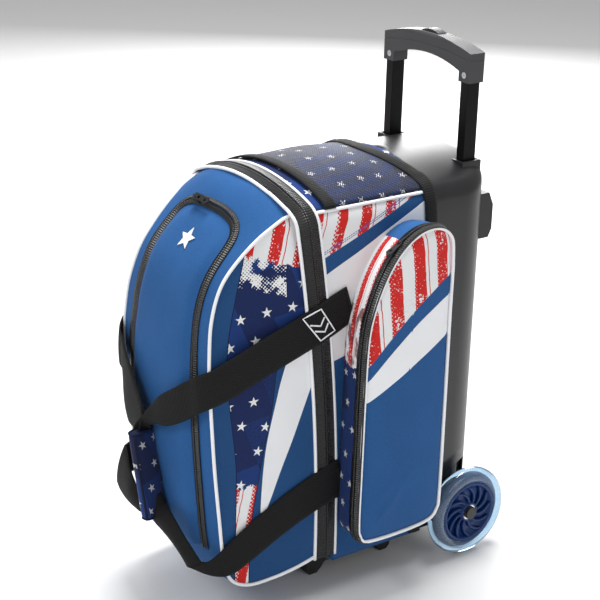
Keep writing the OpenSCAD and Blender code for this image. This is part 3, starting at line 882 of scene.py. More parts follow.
def body_side(side, name):
    us = steps(U_PIPE, U_END, 8)

    def pt(u, t):
        y, z = ball_y(u, t), section(u)[0][1]
        free = math.sin(math.pi * t) * smooth(u, U_PIPE, U_SIDE + 20)
        slack = (lump((y, z, 0), 70, 7 + side) * 1.4 + lump((y * 0.6, z, 2), 24, 8) * 0.5) * free
        return body_pt(y, side * u, 1.6 * free + slack)

    ob = grid(name, pt, us, y_rows, "body_side", "root", uv=lambda u, t: (pt(u, t).y, U_SIDE + CORNER_Z - u))
    thicken(ob, BODY_T, lined=True)
    line = [body_pt(y, side * U_PIPE, 0.8) for y in steps(zip_y(CORNER_Z + 20) + TAPE + 2, JOINT_Y - 4, 5)]
    sweep(name.replace("side", "top_piping"), line, circle(PIPE_R, 10), (side * 0.6, 0, 0.8), "white",
          "root")
    return ob


side_r = body_side(1, "body_side_right")
body_side(-1, "body_side_left")


def top_pt(u, t):
    y = ball_y(u, t)
    return body_pt(y, u, lump((u, y, 0), 60, 9) * 1.0 * math.sin(math.pi * t))


body_top = grid("body_top", top_pt, steps(-U_PIPE, U_PIPE, 7), y_rows, "stars", "root",
        uv=lambda u, t: (top_pt(u, t).y, u))
thicken(body_top, BODY_T, lined=True)
bottom_pts = steps(ZIP_Y0 + TAPE, JOINT_Y + 4, 8)
body_bottom = grid("body_bottom", lambda x, y: Vector((x, y, Z0 + 1.5 - 1.5 * (x / HW) ** 4)),
        steps(-HW + 0.5, HW - 0.5, 10), bottom_pts, "blue_painted_shade", "root")
thicken(body_bottom, 3.0, 1.0)


# ---- mesh pocket on the top ----
def net_edge(t, front):
    return -30 + 4 * smooth(abs(t)) if front else JOINT_Y - 26 + 22 * smooth(abs(t), 0.0, 1.0)


def net_pt(f, t):
    y0, y1 = net_edge(f, True), net_edge(f, False)
    y = y0 + (y1 - y0) * t
    free = math.sin(math.pi * t)
    lift = 1.6 + 5.0 * free ** 0.7 * (1 - f ** 2) + lump((f * 90, y, 0), 42, 12) * 1.6 * (1 - f ** 2) * free
    return body_pt(y, f * (U_PIPE - 3), lift)


net = grid("top_mesh_pocket", net_pt, steps(-1, 1, 0.04), steps(0, 1, 0.04), "mesh", "root",
        uv=lambda f, t: (net_pt(f, t).y, f * U_PIPE))
thicken(net, 0.8, 1.0)


def binding(name, front):
    fs = steps(-1.0, 1.0, 0.04)
    pts = [body_pt(net_edge(f, front), f * (U_PIPE - 1), 2.2 + (1.2 if abs(f) < 0.97 else 0)) for f in fs]
    if not front:      # carries on down both sides as the joint to the shell
        down = steps(U_PIPE + 6, U_END, 8)
        tail = [body_pt(JOINT_Y - 4 + 4 * smooth(u, U_PIPE, U_SIDE + 30), u, 1.6) for u in down]
        pts = [Vector((-p.x, p.y, p.z)) for p in reversed(tail)] + pts + tail

    def out(i, p):
        return p.x * (2.2 if abs(p.x) > CORNER_X else 0.4), 0, 60 if p.z > CORNER_Z - 6 else 0

    return sweep(name, pts, flat_band(17 if front else 18, 1.8, 5, 1.0), out, "binding", "root")


binding("mesh_binding_front", True)
bind_rear = binding("mesh_binding_rear", False)


# ---- accessory pocket ----
def pocket_outline():
    """Side view outline (y, z) from the bottom front corner up, over and down the back."""
    pts = [(12, 93), (0, 104), (-3.5, 122), (-3, 200), (-2, 300), (0, 372), (8, 412), (24, 450), (46, 481),
           (74, 500), (102, 503), (122, 492), (129, 468), (129.5, 380), (130, 250), (130, 130), (127, 108),
           (114, 95.5), (70, 91)]
    return Line([Vector((y, z)) for y, z in pts], rounds=10, closed=True)


OUT = pocket_outline()
rim = steps(0, OUT.length, 6)[:-1]
DOOR_X = door_hi.x
mid_pocket = Vector((66, 300))


def outward_yz(s):
    return Vector((0, *away(OUT, s, mid_pocket)))


def gusset_pt(s, x):
    p, n = OUT.at(s), away(OUT, s, mid_pocket)
    f = clamp((x - HW) / (DOOR_X - HW))
    puff = 3.0 * math.sin(math.pi * f) + lump((s, x, 0), 40, 21) * 1.3 * math.sin(math.pi * f)
    flare = -2.5 * (1 - f)
    q = p + n * (puff + flare)
    return Vector((x, q.x, q.y))


ZIP_X0 = DOOR_X - 17              # inner edge of the pocket's zipper
gusset_x = [HW - 1, HW + 3] + steps(HW + 7, ZIP_X0 + 2, 4)
gusset = grid("pocket_gusset", gusset_pt, rim, gusset_x, "gusset", "root",
        uv=lambda s, x: (x - HW, s), closed=True, inside=Vector((140, 66, 300)))
thicken(gusset, 1.8, lined=True)


def zip_run(s0, s1, x0, out, name, body, profile, step=4.0):
    ss = steps(s0, s1, step)
    pts = [gusset_pt(s, x0) + outward_yz(s) * out for s in ss]
    return sweep(name, pts, profile, lambda i, p: outward_yz(ss[i]), "coil", body)


s_hinge0 = min(rim, key=lambda s: (OUT.at(s) - Vector((129.5, 455))).length)
acc_zip_in = zip_run(0, s_hinge0, ZIP_X0 + 4, 0.6, "pocket_zip_tape_inner", "root", beaded(8, 1.2, 3.0, 2.6))
zip_run(0, s_hinge0, ZIP_X0 + 13, 0.6, "pocket_zip_tape_outer", "root",
        other_half(beaded(9, 1.2, 3.0, 2.6)))
acc_band = grid("pocket_hinge_cloth", gusset_pt, [s for s in rim if s >= s_hinge0 - 4] + [OUT.length],
        steps(ZIP_X0, DOOR_X - 2, 3), "blue_painted_shade", "root", uv=lambda s, x: (x, s))
thicken(acc_band, 1.5)


def door_pt(k, s):
    """k = 0 at the rim, 1 at the middle line of the panel."""
    p = OUT.at(s)
    spine = Vector((64, clamp(p.y, 165, 430)))
    q = p.lerp(spine, k)
    dome = 1 - (1 - k) ** 3
    x = DOOR_X - 1.5 + 4.5 * dome - 2.4 * (1 - smooth(k, 0, 0.12))
    edge = smooth(k, 0.02, 0.3)
    fold = 0.0
    for off, amp in ((0.0, 1.9), (26.0, 1.5), (50.0, 1.0)):      # soft pull lines at the lower front corner
        d = (q.x - 20 - (q.y - 118) * 0.95 + off) / 9.0
        reach = smooth(-q.y, -260, -130) * smooth(q.y, 96, 125) * smooth(-q.x, -96, -40)
        fold += amp * math.exp(-d * d) * reach
    slack = lump((q.x, q.y, 0), 85, 31) * 1.6 + lump((q.x, q.y * 0.5, 7), 30, 33) * 0.6
    return Vector((x + edge * (slack + fold), q.x, q.y))


ks = [0, 0.03, 0.06, 0.1, 0.15, 0.2, 0.27, 0.34, 0.42, 0.5, 0.58, 0.66, 0.74, 0.82, 0.9, 0.96, 1.0]
door = grid("pocket_panel", lambda s, k: door_pt(k, s), rim, ks, "door", "acc_panel",
        uv=lambda s, k: (door_pt(k, s).y, door_pt(k, s).z), closed=True)
weld_spine(door, len(ks))
thicken(door, 3.0, lined=True)
sweep("pocket_panel_piping", [Vector((DOOR_X - 1.8, *OUT.at(s))) for s in rim], circle(2.4, 10),
        (1, 0, 0), "white", "acc_panel", closed=True)


# ---- shoe pocket on the cover ----
def flap_outline():
    """Outline (x, profile length) of the shoe pocket's panel, narrower towards the top."""
    w = (flap_hi.x - flap_lo.x) / 2
    s_top, s_low = 62.0, 492.0
    right = [(0, s_top - 2), (w - 38, s_top), (w - 19, s_top + 8), (w - 12, s_top + 30),
            (w - 12, 160), (w - 9, 211), (w - 4, 265), (w - 2, 400), (w - 4, s_low)]
    return Line([Vector((-x, v)) for x, v in reversed(right)] + [Vector(p) for p in right[1:]], rounds=10)


FLAP = flap_outline()
FLAP_C = Vector((0, 280))


def on_cover(p, out):
    """Point on the soft cover at side position p.x and profile length p.y."""
    f = clamp(p.x / side_x(*EDGE.at(p.y)), -1, 1)
    base = soft_strip(p.y, f)
    lift = strip_pt(p.y, p.x, 10.0) - strip_pt(p.y, p.x, 0.0)
    return base + lift * (out / 10.0)


def flap_at(k, s):
    p = FLAP.at(s)
    return p.lerp(Vector((0, clamp(p.y, 170, 500))), k)


def flap_pt(k, s):
    q = flap_at(k, s)
    slack = lump((q.x, q.y, 1), 60, 41) * 1.4 * smooth(k, 0.05, 0.3)
    return on_cover(q, 1.2 + 6.0 * (1 - (1 - smooth(k, 0.0, 0.30)) ** 2) + slack)


flap_s = steps(0, FLAP.length, 6)
flap = grid("shoe_pocket_flap", lambda s, k: flap_pt(k, s), flap_s, ks, "blue", "flap",
        uv=lambda s, k: (flap_at(k, s).x, -flap_at(k, s).y))
weld_spine(flap, len(ks))
thicken(flap, 2.0, lined=True)


def flap_line(s, off):
    """Point `off` outside the panel's outline; inside where it is negative."""
    return FLAP.at(s) + away(FLAP, s, FLAP_C) * off


def shoe_zip(name, off, out, profile):
    ss = steps(0, FLAP.length, 4)
    pts = [on_cover(flap_line(s, off), out) for s in ss]
    ns = [(on_cover(FLAP.at(s), 10) - on_cover(FLAP.at(s), 0)).normalized() for s in ss]
    return sweep(name, pts, profile, lambda i, p: ns[i], "coil", "lid")


shoe_zip("shoe_zip_tape_inner", 2.6, 0.6, other_half(beaded(6.5, 1.2, 3.0, 2.8)))
shoe_zip_out = shoe_zip("shoe_zip_tape_outer", 9.2, 0.6, beaded(6.5, 1.2, 3.0, 2.8))


def cut_opening(ob, inset):
    """Leaves out the cover's faces behind the shoe pocket's panel; a bound edge hides the cut."""
    ring = [flap_line(s, -inset) for s in steps(0, FLAP.length, 6)]
    low = ring[0].y - 12

    def within(x, s):
        hits = sum(1 for a, b in zip(ring, ring[1:] + ring[:1])
                   if (a.y > s) != (b.y > s) and x < a.x + (b.x - a.x) * (s - a.y) / (b.y - a.y))
        return hits % 2 and s < low

    with edited(ob.data) as bm:
        layer = bm.loops.layers.uv.active
        gone = []
        for f in bm.faces:
            c = sum((loop[layer].uv for loop in f.loops), Vector((0, 0))) / len(f.loops) / MM
            if within(c.x, -c.y):
                gone.append(f)
        bmesh.ops.delete(bm, geom=gone, context="FACES")


cut_opening(lid_front, 11.0)
mouth = [flap_line(s, -9.5) for s in steps(6, FLAP.length - 6, 6)]
foot_line = [mouth[-1].lerp(mouth[0], t / 24) - Vector((0, 9)) for t in range(25)]
for name, line in (("shoe_mouth_binding", mouth), ("shoe_mouth_binding_foot", foot_line)):
    sweep(name, [on_cover(p, 0.2) for p in line], flat_band(14, 1.4, 4, 0.3),
          lambda i, p: p - Vector((0, -20, 250)), "binding", "lid")


def badge(name, centre_s, radius, body):
    """Plain raised star in place of lettering."""
    verts, faces = [], []
    reach = [radius, radius * 0.45] * 5
    ring = [(r * math.sin(i * math.pi / 5), -r * math.cos(i * math.pi / 5)) for i, r in enumerate(reach)]
    for h in (7.4, 8.3):
        verts += [on_cover(Vector((x, centre_s + y)), h) for x, y in ring]
    verts.append(on_cover(Vector((0, centre_s)), 8.5))
    for i in range(10):
        j = (i + 1) % 10
        faces += [(i, j, 10 + j, 10 + i), (10 + i, 10 + j, 20)]
    return new_mesh(name, verts, faces, [(v.x * MM, v.z * MM) for v in verts], "white", body)


star_badge = badge("plain_star", 104.0, 15.0, "flap")
shade(star_badge.data, False)

# ---- moulded back shell ----
BACK_R = 55.0
ARCH_R = (tyre_hi.z - tyre_lo.z) / 2 + 7
ARCH_Y, ARCH_Z = (tyre_lo.y + tyre_hi.y) / 2, (tyre_lo.z + tyre_hi.z) / 2


def plan_outline():
    right = [(HW, y) for y in steps(JOINT_Y, BACK_Y - BACK_R, 4)]
    right += [(HW - BACK_R + BACK_R * math.cos(a), BACK_Y - BACK_R + BACK_R * math.sin(a))
            for a in [math.radians(d) for d in steps(3, 90, 3)]]
    right += [(x, BACK_Y) for x in steps(HW - BACK_R - 5, 0, 6)]
    return right + [(-x, y) for x, y in reversed(right[:-1])]


def plan_depth(x, y):
    qx, qy = HW - abs(x), BACK_Y - y
    if qx < BACK_R and qy < BACK_R:
        return BACK_R - math.hypot(BACK_R - qx, BACK_R - qy)
    return min(qx, qy)


plan = plan_outline()
top_k = [0, 0.004, 0.012, 0.025, 0.045, 0.07, 0.1, 0.14, 0.18, 0.23, 0.29, 0.36, 0.45, 0.56, 0.7, 0.85, 1.0]


def shell_top(i, k):
    x, y = plan[int(i)]
    qx, qy = x * (1 - k), y + (JOINT_Y - y) * k
    return Vector((qx, qy, roof_z(qx) - edge_drop(plan_depth(qx, qy))))


def shell_foot(x, y):
    reach = ARCH_R ** 2 - (y - ARCH_Y) ** 2
    return max(Z0, ARCH_Z + math.sqrt(reach)) if reach > 0 and abs(x) > HW - 14 else Z0


wall_t = steps(0, 1, 0.05)


def shell_wall(i, t):
    x, y = plan[int(i)]
    hi, lo = roof_z(x) - edge_drop(0.0), shell_foot(x, y)
    return Vector((x, y, hi + (lo - hi) * t))


shell = grid("moulded_back_shell", shell_top, range(len(plan)), top_k, "shell", "root")
wall = grid("moulded_back_wall", shell_wall, range(len(plan)), wall_t, "shell", "root")


def joined(name, parts, weld=0.05):
    """One mesh from several that meet."""
    bm = bmesh.new()
    for p in parts:
        bm.from_mesh(p.data)
    bmesh.ops.remove_doubles(bm, verts=bm.verts, dist=weld * MM)
    bmesh.ops.recalc_face_normals(bm, faces=bm.faces)
    keep = parts[0]
    bm.to_mesh(keep.data)
    bm.free()
    for p in parts[1:]:
        bpy.data.objects.remove(p)
    keep.name = name
    return keep


shell = joined("moulded_back_shell", [shell, wall])
thicken(shell, 4.0)


def crisp(node, name, mat, width=0.8, segments=2, angle=34):
    """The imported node's own shape with its edges broken, as moulding leaves them."""
    me = frame["nodes"][node].data.copy()
    with edited(me) as bm:
        bmesh.ops.remove_doubles(bm, verts=bm.verts, dist=0.00002)
        bmesh.ops.dissolve_limit(bm, angle_limit=math.radians(1.0), verts=bm.verts, edges=bm.edges)
    me.materials.clear()
    me.materials.append(MAT[mat])
    ob = placed(name, me)
    bev = ob.modifiers.new("edges", "BEVEL")
    bev.width, bev.segments = width * MM, segments
    bev.limit_method, bev.angle_limit = "ANGLE", math.radians(angle)
    bev.use_clamp_overlap = True
    shade(me)
    weight = ob.modifiers.new("shade", "WEIGHTED_NORMAL")
    weight.keep_sharp = True
    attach(ob, body_of(node))
    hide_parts(node)
    return ob


def body_of(node):
    for body, nodes in frame["record"]["behaviour"]["bodies"].items():
        if node in nodes:
            return body
    return "root"


# ---- straps: webbing laid between its two edges ----
SIDE_X = HW + 2.6
STRAP_W = 48.0


def ribbon(name, rows, mat, body, thick=2.2, across=8, rounds=8, roll=0.0):
    """A band through pairs of edge points, its middle raised by `roll`."""
    one, two = Line([a for a, b in rows], rounds), Line([b for a, b in rows], rounds)
    verts, uv, run = [], [], 0.0
    n, k = len(one.points), across + 1
    for i, (p, q) in enumerate(zip(one.points, two.points)):
        if i:
            run += ((p + q) / 2 - (one.points[i - 1] + two.points[i - 1]) / 2).length
        ahead = (one.points[min(i + 1, n - 1)] + two.points[min(i + 1, n - 1)]
                - one.points[max(i - 1, 0)] - two.points[max(i - 1, 0)])
        face = ahead.cross(q - p).normalized()
        for j in range(k):
            f = j / across
            verts.append(p.lerp(q, f) + face * roll * (1 - (2 * f - 1) ** 2))
            uv.append((run * MM, (f - 0.5) * STRAP_W * MM))
    ob = new_mesh(name, verts, quads(n, k), uv, mat, body)
    return thicken(ob, thick, 0.0)


# Each row is the webbing's upper and lower edge point, from the side seam to the wrap.
# All rows are for +X; the left strap's are mirrored when it is built.
UPPER_SIDE = [((118.5, -2, 432), (118.5, 12, 386)), ((119.5, -40, 419), (119.5, -24, 371)),
        ((119, -82, 403), (119, -64, 357)), ((116, -122, 388), (116, -104, 342)),
        ((112.5, -158, 373), (113.5, -140, 328)), ((109.5, -176, 365), (110.5, -162, 318)),
        ((106, -189, 358), (107.5, -184, 311))]
UPPER_RIGHT = [((95, -201, 351), (98.5, -199, 303)), ((79, -206, 340), (83, -204, 291)),
        ((60, -213, 325), (66, -211, 279)), ((36, -219, 307), (46, -217, 269)),
        ((20, -221.5, 289), (30, -219, 266)), ((5, -226, 270), (17, -217, 260)),
        ((-8, -231, 252), (0, -214, 250)), ((-9, -231, 234), (-2, -215, 234))]
UPPER_LEFT = [((95, -201, 348), (98, -200, 300)), ((80, -206, 342), (85, -203, 293)),
        ((62, -213, 333), (75, -208, 284)), ((45, -217, 322), (69, -211, 273)),
        ((28, -220, 308), (62, -214, 262)), ((10, -222, 290), (54, -216, 249)),
        ((-3, -225, 271), (42, -217, 237)), ((-2, -229, 254), (20, -214, 236)),
        ((3, -231, 236), (9, -215, 232))]
LOWER_RIGHT = [((118.5, -6, 198), (118.5, 8, 145)), ((119, -40, 187), (119, -22, 138)),
        ((117.5, -84, 169), (118, -62, 124)), ((113, -120, 148), (115, -98, 106)),
        ((110, -152, 127), (112.5, -132, 87)), ((107.5, -174, 110), (109, -161, 73)),
        ((101, -189, 97), (102, -185, 76)), ((95, -196, 95), (78, -206, 84))]
LOWER_LEFT = [((118.5, -6, 198), (118.5, 8, 145)), ((119, -40, 192), (119, -26, 144)),
        ((118, -84, 187), (118, -72, 139)), ((114, -124, 183), (114, -114, 135)),
        ((110, -160, 179), (111, -154, 132)), ((106.5, -181, 176), (107, -182, 130)),
        ((101, -193, 175), (98, -207, 128))]
RISE_RIGHT = [((78, -206, 84), (95, -196, 95)), ((70, -210, 97), (84, -201, 109)),
        ((54, -215, 112), (68, -208, 130)), ((36, -219, 122), (50, -209, 143)),
        ((24, -221, 128), (35, -206, 146)), ((14, -222, 136), (21, -203, 147)),
        ((8, -224, 154), (13, -206, 160))]
RISE_LEFT = [((98, -207, 127), (101, -193, 175)), ((84, -211, 124), (84, -199, 170)),
        ((66, -215, 123), (64, -207, 163)), ((46, -219, 124), (46, -212, 156)),
        ((26, -221, 125), (27, -212, 143)), ((6, -222, 127), (7, -208, 140)),
        ((-5, -223, 142), (-4, -206, 150))]


def strap(side, name, body, runs):
    out = []
    for tag, rows, roll in runs:
        flipped = [tuple(Vector((side * x, y, z)) for x, y, z in row) for row in rows]
        out.append(ribbon("%s_%s" % (name, tag), flipped, "web", body, roll=roll * side))
    return out


strap_r = strap(1, "strap_right", "carry_r", (
    ("upper", UPPER_SIDE + UPPER_RIGHT, 1.2), ("lower", LOWER_RIGHT, 1.2), ("rise", RISE_RIGHT, -5.0)))
strap_l = strap(-1, "strap_left", "carry_l", (
    ("upper", UPPER_SIDE + UPPER_LEFT, 1.2), ("lower", LOWER_LEFT, 1.2), ("rise", RISE_LEFT, -3.0)))

# ---- padded grip wrap ----
WRAP_C = Vector((4, (wrap_lo.y + wrap_hi.y) / 2 + 2, (wrap_lo.z + wrap_hi.z) / 2))
WRAP_H = Vector((8.0, 19.5, (wrap_hi.z - wrap_lo.z) / 2))
WRAP_TURN = math.radians(-18)      # its broad side faces +X, turned a little back
LEAN = Vector((17, 9, -116))       # from the top of the wrap to its foot
wrap_axes = Matrix.Rotation(WRAP_TURN, 3, "Z").transposed()


def wrap_pt(across, along, up_):
    """Point of the wrap: across its thickness, along its breadth, up its length; -1 to 1 each."""
    flat = wrap_axes @ Vector((across * WRAP_H.x, along * WRAP_H.y, 0))
    return WRAP_C + flat + LEAN * (-up_ / 2)


def padded_block(name, place, halfs, body, mat, cap):
    """A stuffed pad: rounded block, swollen by a cloth simulation, then set in place."""
    bm = bmesh.new()
    bmesh.ops.create_cube(bm, size=2.0)
    bmesh.ops.subdivide_edges(bm, edges=bm.edges, cuts=5, use_grid_fill=True)
    for v in bm.verts:
        x, y, z = v.co
        x, y, z = x * halfs.x * (1 - 0.12 * y ** 4), y * halfs.y * (1 - 0.04 * z ** 4), z * halfs.z
        v.co = Vector((x, y, z)) * MM
    me = bpy.data.meshes.new(name)
    bm.to_mesh(me)
    bm.free()
    ob = placed(name, me)
    rm = ob.modifiers.new("remesh", "REMESH")
    rm.mode, rm.voxel_size = "VOXEL", 0.004
    apply_all(ob)
    start = [v.co.copy() for v in ob.data.vertices]
    c = ob.modifiers.new("cloth", "CLOTH")
    c.settings.use_pressure = True
    c.settings.uniform_pressure_force = 4.0
    c.settings.effector_weights.gravity = 0.0
    for f in range(1, 16):
        bpy.context.scene.frame_set(f)
    apply_all(ob)
    bpy.context.scene.frame_set(1)
    for v, s in zip(ob.data.vertices, start):
        d = v.co - s
        if d.length > cap * MM:
            v.co = s + d.normalized() * cap * MM
    sub = ob.modifiers.new("soft", "SUBSURF")
    sub.levels = sub.render_levels = 1
    apply_all(ob)
    for v in ob.data.vertices:
        v.co = place(v.co.x / MM / halfs.x, v.co.y / MM / halfs.y, v.co.z / MM / halfs.z) * MM
    ob.data.materials.clear()
    ob.data.materials.append(MAT[mat])
    shade(ob.data)
    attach(ob, body)
    return ob


def apply_all(ob):
    deps = bpy.context.evaluated_depsgraph_get()
    me = bpy.data.meshes.new_from_object(ob.evaluated_get(deps))
    ob.modifiers.clear()
    ob.data = me


def wrap_material():
    """Navy star print on the broad sides, darkened as painted shade; the narrow front shows the stripes."""
    m = Mat("wrap_star_print", rough=0.8, sheen=0.12, spec=0.25)
    x, y, z = m.xyz()
    ax = wrap_axes @ Vector((0, 1, 0))
    breadth = (x - WRAP_C.x * MM) * ax.x + (y - WRAP_C.y * MM) * ax.y + (z - WRAP_C.z * MM) * (14 / 116)
    stars = navy_print(m, breadth, z, across=0.026, up=0.031, radius=0.0062, jitter=0.2)
    # the broad sides' print darkened 45% towards near-black: painted shade
    stars = m.mix(0.45, stars, (0.003, 0.004, 0.014))
    ragged = m.noise((x, y, z), 160.0, 3.0) * 0.012
    front = m.mix((z + ragged) > 0.222, navy_print(m, x, z), WHITE)
    front = m.mix(((z + ragged - 0.216).abs()) < 0.005, front, RED)
    return m.done(m.mix(breadth < (-WRAP_H.y + 1.5) * MM, stars, front))


MAT["wrap"] = wrap_material()
wrap = padded_block("grip_wrap", wrap_pt, WRAP_H, "carry_r", "wrap", cap=4.0)


def wrap_rim(name, up_, inset=0.90):
    """Bound edge round one end of the wrap."""

    def bowed(c, power):
        return inset * math.copysign(abs(c) ** power, c) * 1.02

    ring = [wrap_pt(bowed(math.cos(a), 0.5), bowed(math.sin(a), 0.7), up_) for a in steps(0, TAU, 0.2)[:-1]]
    return sweep(name, ring, circle(1.2, 8), LEAN, "edge", "carry_r", closed=True)


hem = sweep("grip_wrap_hem", [wrap_pt(0.80, -1.02, u) for u in steps(-0.96, 0.96, 0.08)],
        flat_band(3.2, 0.8, 4, 0.4), wrap_axes @ Vector((1, -0.6, 0)), "edge", "carry_r")
wrap_trim = [wrap_rim("grip_wrap_rim_top", 0.98), wrap_rim("grip_wrap_rim_foot", -0.98), hem]

# ---- strap patch with a plain chevron ----
def plate(name, pts, face, thick, mat, body):
    """Thin flat badge from its outline in space."""
    k = len(pts)
    face = Vector(face).normalized() * thick
    verts = [Vector(p) for p in pts] + [Vector(p) + face for p in pts]
    faces = [tuple(range(k))[::-1], tuple(range(k, 2 * k))] + quads(2, k, False, True)
    ob = new_mesh(name, verts, faces, [(v.y * MM, v.z * MM) for v in verts], mat, body)
    shade(ob.data, False)
    return ob


PATCH = [(-72, 406), (-43, 414), (-19, 379), (-42, 369)]
patch_x = SIDE_X + 3.4
pc = Vector((sum(p[0] for p in PATCH) / 4, sum(p[1] for p in PATCH) / 4))


def patch_pts(scale, dx=0.0):
    return [Vector((patch_x + dx, pc.x + (y - pc.x) * scale, pc.y + (z - pc.y) * scale)) for y, z in PATCH]


patch = [plate("strap_patch_ground", patch_pts(1.0), (1, 0, 0), 0.8, "web", "carry_r")]
edge = patch_pts(0.93, 0.9)
edge = [a.lerp(b, t) for a, b in zip(edge, edge[1:] + edge[:1]) for t in (0.0, 0.25, 0.5, 0.75)]
patch.append(sweep("strap_patch_edge", edge, flat_band(1.8, 0.6, 3, 0.3), (1, 0, 0), "white", "carry_r",
        closed=True))
c0, c1, c2, c3 = patch_pts(0.78, 0.9)
for nm, along in (("strap_patch_chevron_a", 0.30), ("strap_patch_chevron_b", 0.62)):
    tip = c0.lerp(c1, 0.5).lerp(c3.lerp(c2, 0.5), along + 0.26)
    a, b = c0.lerp(c3, along), c1.lerp(c2, along)
    bent = [a.lerp(tip, t / 4) for t in range(4)] + [tip.lerp(b, t / 4) for t in range(5)]
    patch.append(sweep(nm, bent, flat_band(2.0, 0.6, 3, 0.3), (1, 0, 0), "white", "carry_r"))

# ---- hard parts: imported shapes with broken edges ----
for node, mat, width in (
        ("grip_lower", "grip", 2.2), ("grip_upper", "grip", 3.0), ("button", "plastic", 1.0),
        ("rear_bumpers", "plastic", 2.5), ("foot_skid", "plastic", 1.4), ("chassis", "plastic", 1.2),
        ("tube_collars", "plastic", 1.4), ("axle_caps", "plastic", 1.2),
        ("wheel_housing_left", "plastic", 0.8), ("wheel_housing_right", "plastic", 0.8),
        ("tube_inner_left", "tube", 1.2), ("tube_inner_right", "tube", 1.2),
        ("tube_outer_left", "tube", 0.6), ("tube_outer_right", "tube", 0.6)):
    crisp(node, node + "_moulded", mat, width, 3)


# ---- wheels ----
def lathe(name, profile, centre_x, mat, body, n=112):
    """Revolves a closed (radius, x) outline about the axle."""
    verts = []
    for i in range(n):
        a = TAU * i / n
        y, z = math.cos(a), math.sin(a)
        verts += [Vector((centre_x + x, ARCH_Y + r * y, ARCH_Z + r * z)) for r, x in profile]
    faces = quads(n, len(profile), True, True)
    ob = new_mesh(name, verts, faces, [(v.y * MM, v.z * MM) for v in verts], mat, body)
    orient(ob)
    return ob


BLADE = [(1.9, 0), (1.5, 4.6), (0.7, 5.4), (-0.7, 5.4), (-1.5, 4.6), (-1.9, 0)]


def wheel(side, body, tag):
    cx = side * (tyre_lo.x + tyre_hi.x) / 2
    half_w = (tyre_hi.x - tyre_lo.x) / 2
    big = (tyre_hi.z - tyre_lo.z) / 2
    inner = (hub_hi.z - hub_lo.z) / 2
    ring_c = big - half_w
    angles = [math.radians(d) for d in steps(-96, 96, 8)]
    arc = [(ring_c + half_w * math.cos(a), half_w * math.sin(a)) for a in angles]
    tyre = lathe("tyre_clear_" + tag, arc + [(inner + 0.2, half_w - 2.4), (inner + 0.2, 2.4 - half_w)], cx,
            "tyre", body)
    bead = [(inner + r, x) for r, x in ((0.4, 8.0), (5.0, 7.0), (8.5, 4.0), (9.5, 0), (8.5, -4.0),
            (5.0, -7.0), (0.4, -8.0))]
    lathe("tyre_core_" + tag, bead, cx, "hub", body)
    w = (hub_hi.x - hub_lo.x) / 2
    dish = [(inner, w - 1.6), (inner - 1.2, w - 0.4), (inner - 3.5, w - 0.4), (inner - 4.8, w - 1.6),
            (inner - 5.6, w - 6.5), (15.5, w - 6.5), (14, w - 1.2), (12.8, w), (11.1, w)]
    hub = lathe("hub_dish_" + tag, dish + [(r, -x) for r, x in reversed(dish)], cx, "hub", body)
    for i in range(12):
        for face in (1, -1):
            a0 = TAU * i / 12
            pts = []
            for t in steps(0, 1, 0.125):
                r = 13 + (inner - 5.0 - 13) * t
                a = a0 + side * 0.62 * t ** 1.4
                y, z = ARCH_Y + r * math.cos(a), ARCH_Z + r * math.sin(a)
                pts.append(Vector((cx + face * (w - 6.6), y, z)))
            name = "hub_blade_%s_%d%s" % (tag, i, "a" if face > 0 else "b")
            rib = sweep(name, pts, BLADE, (face, 0, 0), "hub")
            rib.parent = hub
    return tyre, hub


wheels = {t: wheel(s, b, t) for s, b, t in ((1, "wheel_r", "right"), (-1, "wheel_l", "left"))}

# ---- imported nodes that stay, with their materials ----
PLAIN = {
    "steel": ["skid_screws", "axle_left", "axle_right", "bearings_left", "bearings_right", "grip_screws",
              "return_springs", "latch_pin_left", "latch_pin_right"],
    "plastic": ["tube_feet", "release_yoke", "latch_blocks", "main_slider", "main_pull", "shoe_slider",
                "shoe_pull", "acc_slider", "acc_pull"],
    "board": ["back_board", "shelf", "shelf_cleats", "shoe_divider"],
    "foam": ["ball_cup_lower", "ball_cup_upper"],
}
for mat, nodes in PLAIN.items():
    for node in nodes:
        ob = frame["nodes"][node]
        for held in ob.material_slots:
            held.link = "OBJECT"
            held.material = MAT[mat]

for piece, node in (
        (lid_front, "lid_shell"), (zip_lid, "zip_tape_lid"), (pipe_lid, "piping_lid"),
        (zip_body, "zip_tape_body"), (pipe_body, "piping_body"), (side_r, "ball_shell"),
        (net, "mesh_pocket"), (bind_rear, "mesh_binding"), (gusset, "acc_box"),
        (acc_zip_in, "acc_zip_tape"), (door, "acc_door"), (flap, "shoe_flap"),
        (shoe_zip_out, "shoe_zip_tape"), (shell, "back_shell"), (strap_r[0], "strap_right"),
        (strap_l[0], "strap_left"), (wrap, "strap_wrap"), (patch[0], "strap_patch"),
        (wheels["right"][0], "tyre_right"), (wheels["left"][0], "tyre_left"),
        (wheels["right"][1], "hub_right"), (wheels["left"][1], "hub_left")):
    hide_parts(node)

# ---- straps, patch and wrap: each piece gets a mesh of its own ----
for side, pieces in ((1, strap_r + patch + wrap_trim + [wrap]), (-1, strap_l)):
    for piece in pieces:
        side * patch_x * MM
        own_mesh(piece)

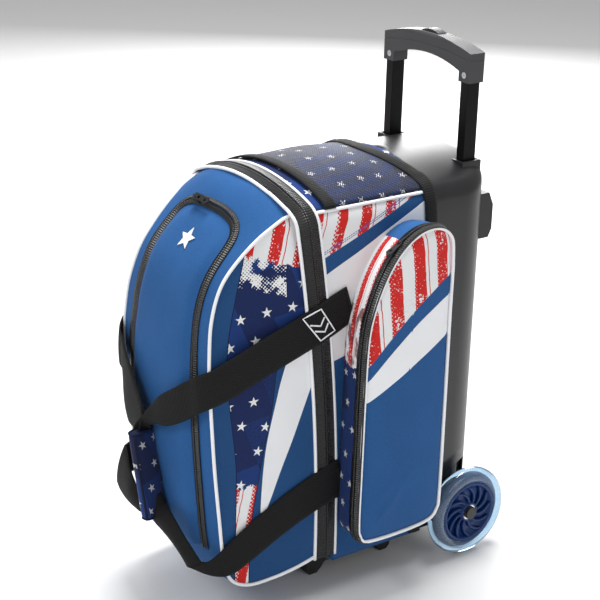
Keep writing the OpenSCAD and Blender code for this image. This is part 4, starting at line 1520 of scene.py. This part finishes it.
# ---- stage, camera, light ----
def floor_material():
    m = Mat("pale_floor", rough=0.9, spec=0.1)
    x, y = m.xyz()[:2]
    return m.done(m.mix(m.noise((x, y), 3.0, 2.0), (0.74, 0.74, 0.74), (0.76, 0.76, 0.76)))


bpy.ops.mesh.primitive_grid_add(x_subdivisions=4, y_subdivisions=4, size=14, location=(0, 0, 0))
floor = bpy.context.object
floor.name = "floor"
floor.data.materials.append(floor_material())

AZ, EL, ROLL = (math.radians(a) for a in (54.1, 21.0, 1.5))
SENSOR, LENS = 36.0, 94.536        # millimetres
look = Vector((-math.sin(AZ) * math.cos(EL), math.cos(AZ) * math.cos(EL), -math.sin(EL)))
right = Vector((math.cos(AZ), math.sin(AZ), 0))
up = right.cross(look)
cam_x = right * math.cos(ROLL) + up * math.sin(ROLL)
cam_y = up * math.cos(ROLL) - right * math.sin(ROLL)
cam = bpy.data.cameras.new("camera")
cam.sensor_width, cam.lens = SENSOR, LENS
cam.clip_start, cam.clip_end = 0.05, 50
cam_ob = placed("camera", cam)
turn = Matrix((cam_x, cam_y, -look)).transposed().to_4x4()
cam_ob.matrix_world = Matrix.Translation((1.5554, -1.1119, 1.1097)) @ turn
bpy.context.scene.camera = cam_ob


def area(name, place, target, size, power, colour=(1, 1, 1)):
    light = bpy.data.lights.new(name, "AREA")
    light.shape, light.size, light.energy, light.color = "DISK", size, power, colour
    ob = placed(name, light)
    ob.visible_camera = False
    ob.location = place
    ob.rotation_euler = (Vector(target) - Vector(place)).to_track_quat("-Z", "Y").to_euler()


area("key", (0.3, -2.6, 2.6), (0, 0, 0.35), 1.4, 45)
area("fill", (2.8, 0.4, 1.6), (0, 0, 0.35), 1.8, 13)
area("top", (-0.4, 0.5, 3.0), (0, 0, 0.4), 1.6, 105)
area("back", (-2.3, 2.0, 1.5), (0, 0.1, 0.5), 1.9, 70)
world = bpy.data.worlds.new("studio")
world.use_nodes = True
world.node_tree.nodes["Background"].inputs["Color"].default_value = (1, 1, 1, 1)
world.node_tree.nodes["Background"].inputs["Strength"].default_value = 0.42
bpy.context.scene.world = world
bpy.context.scene.view_settings.view_transform = "Standard"
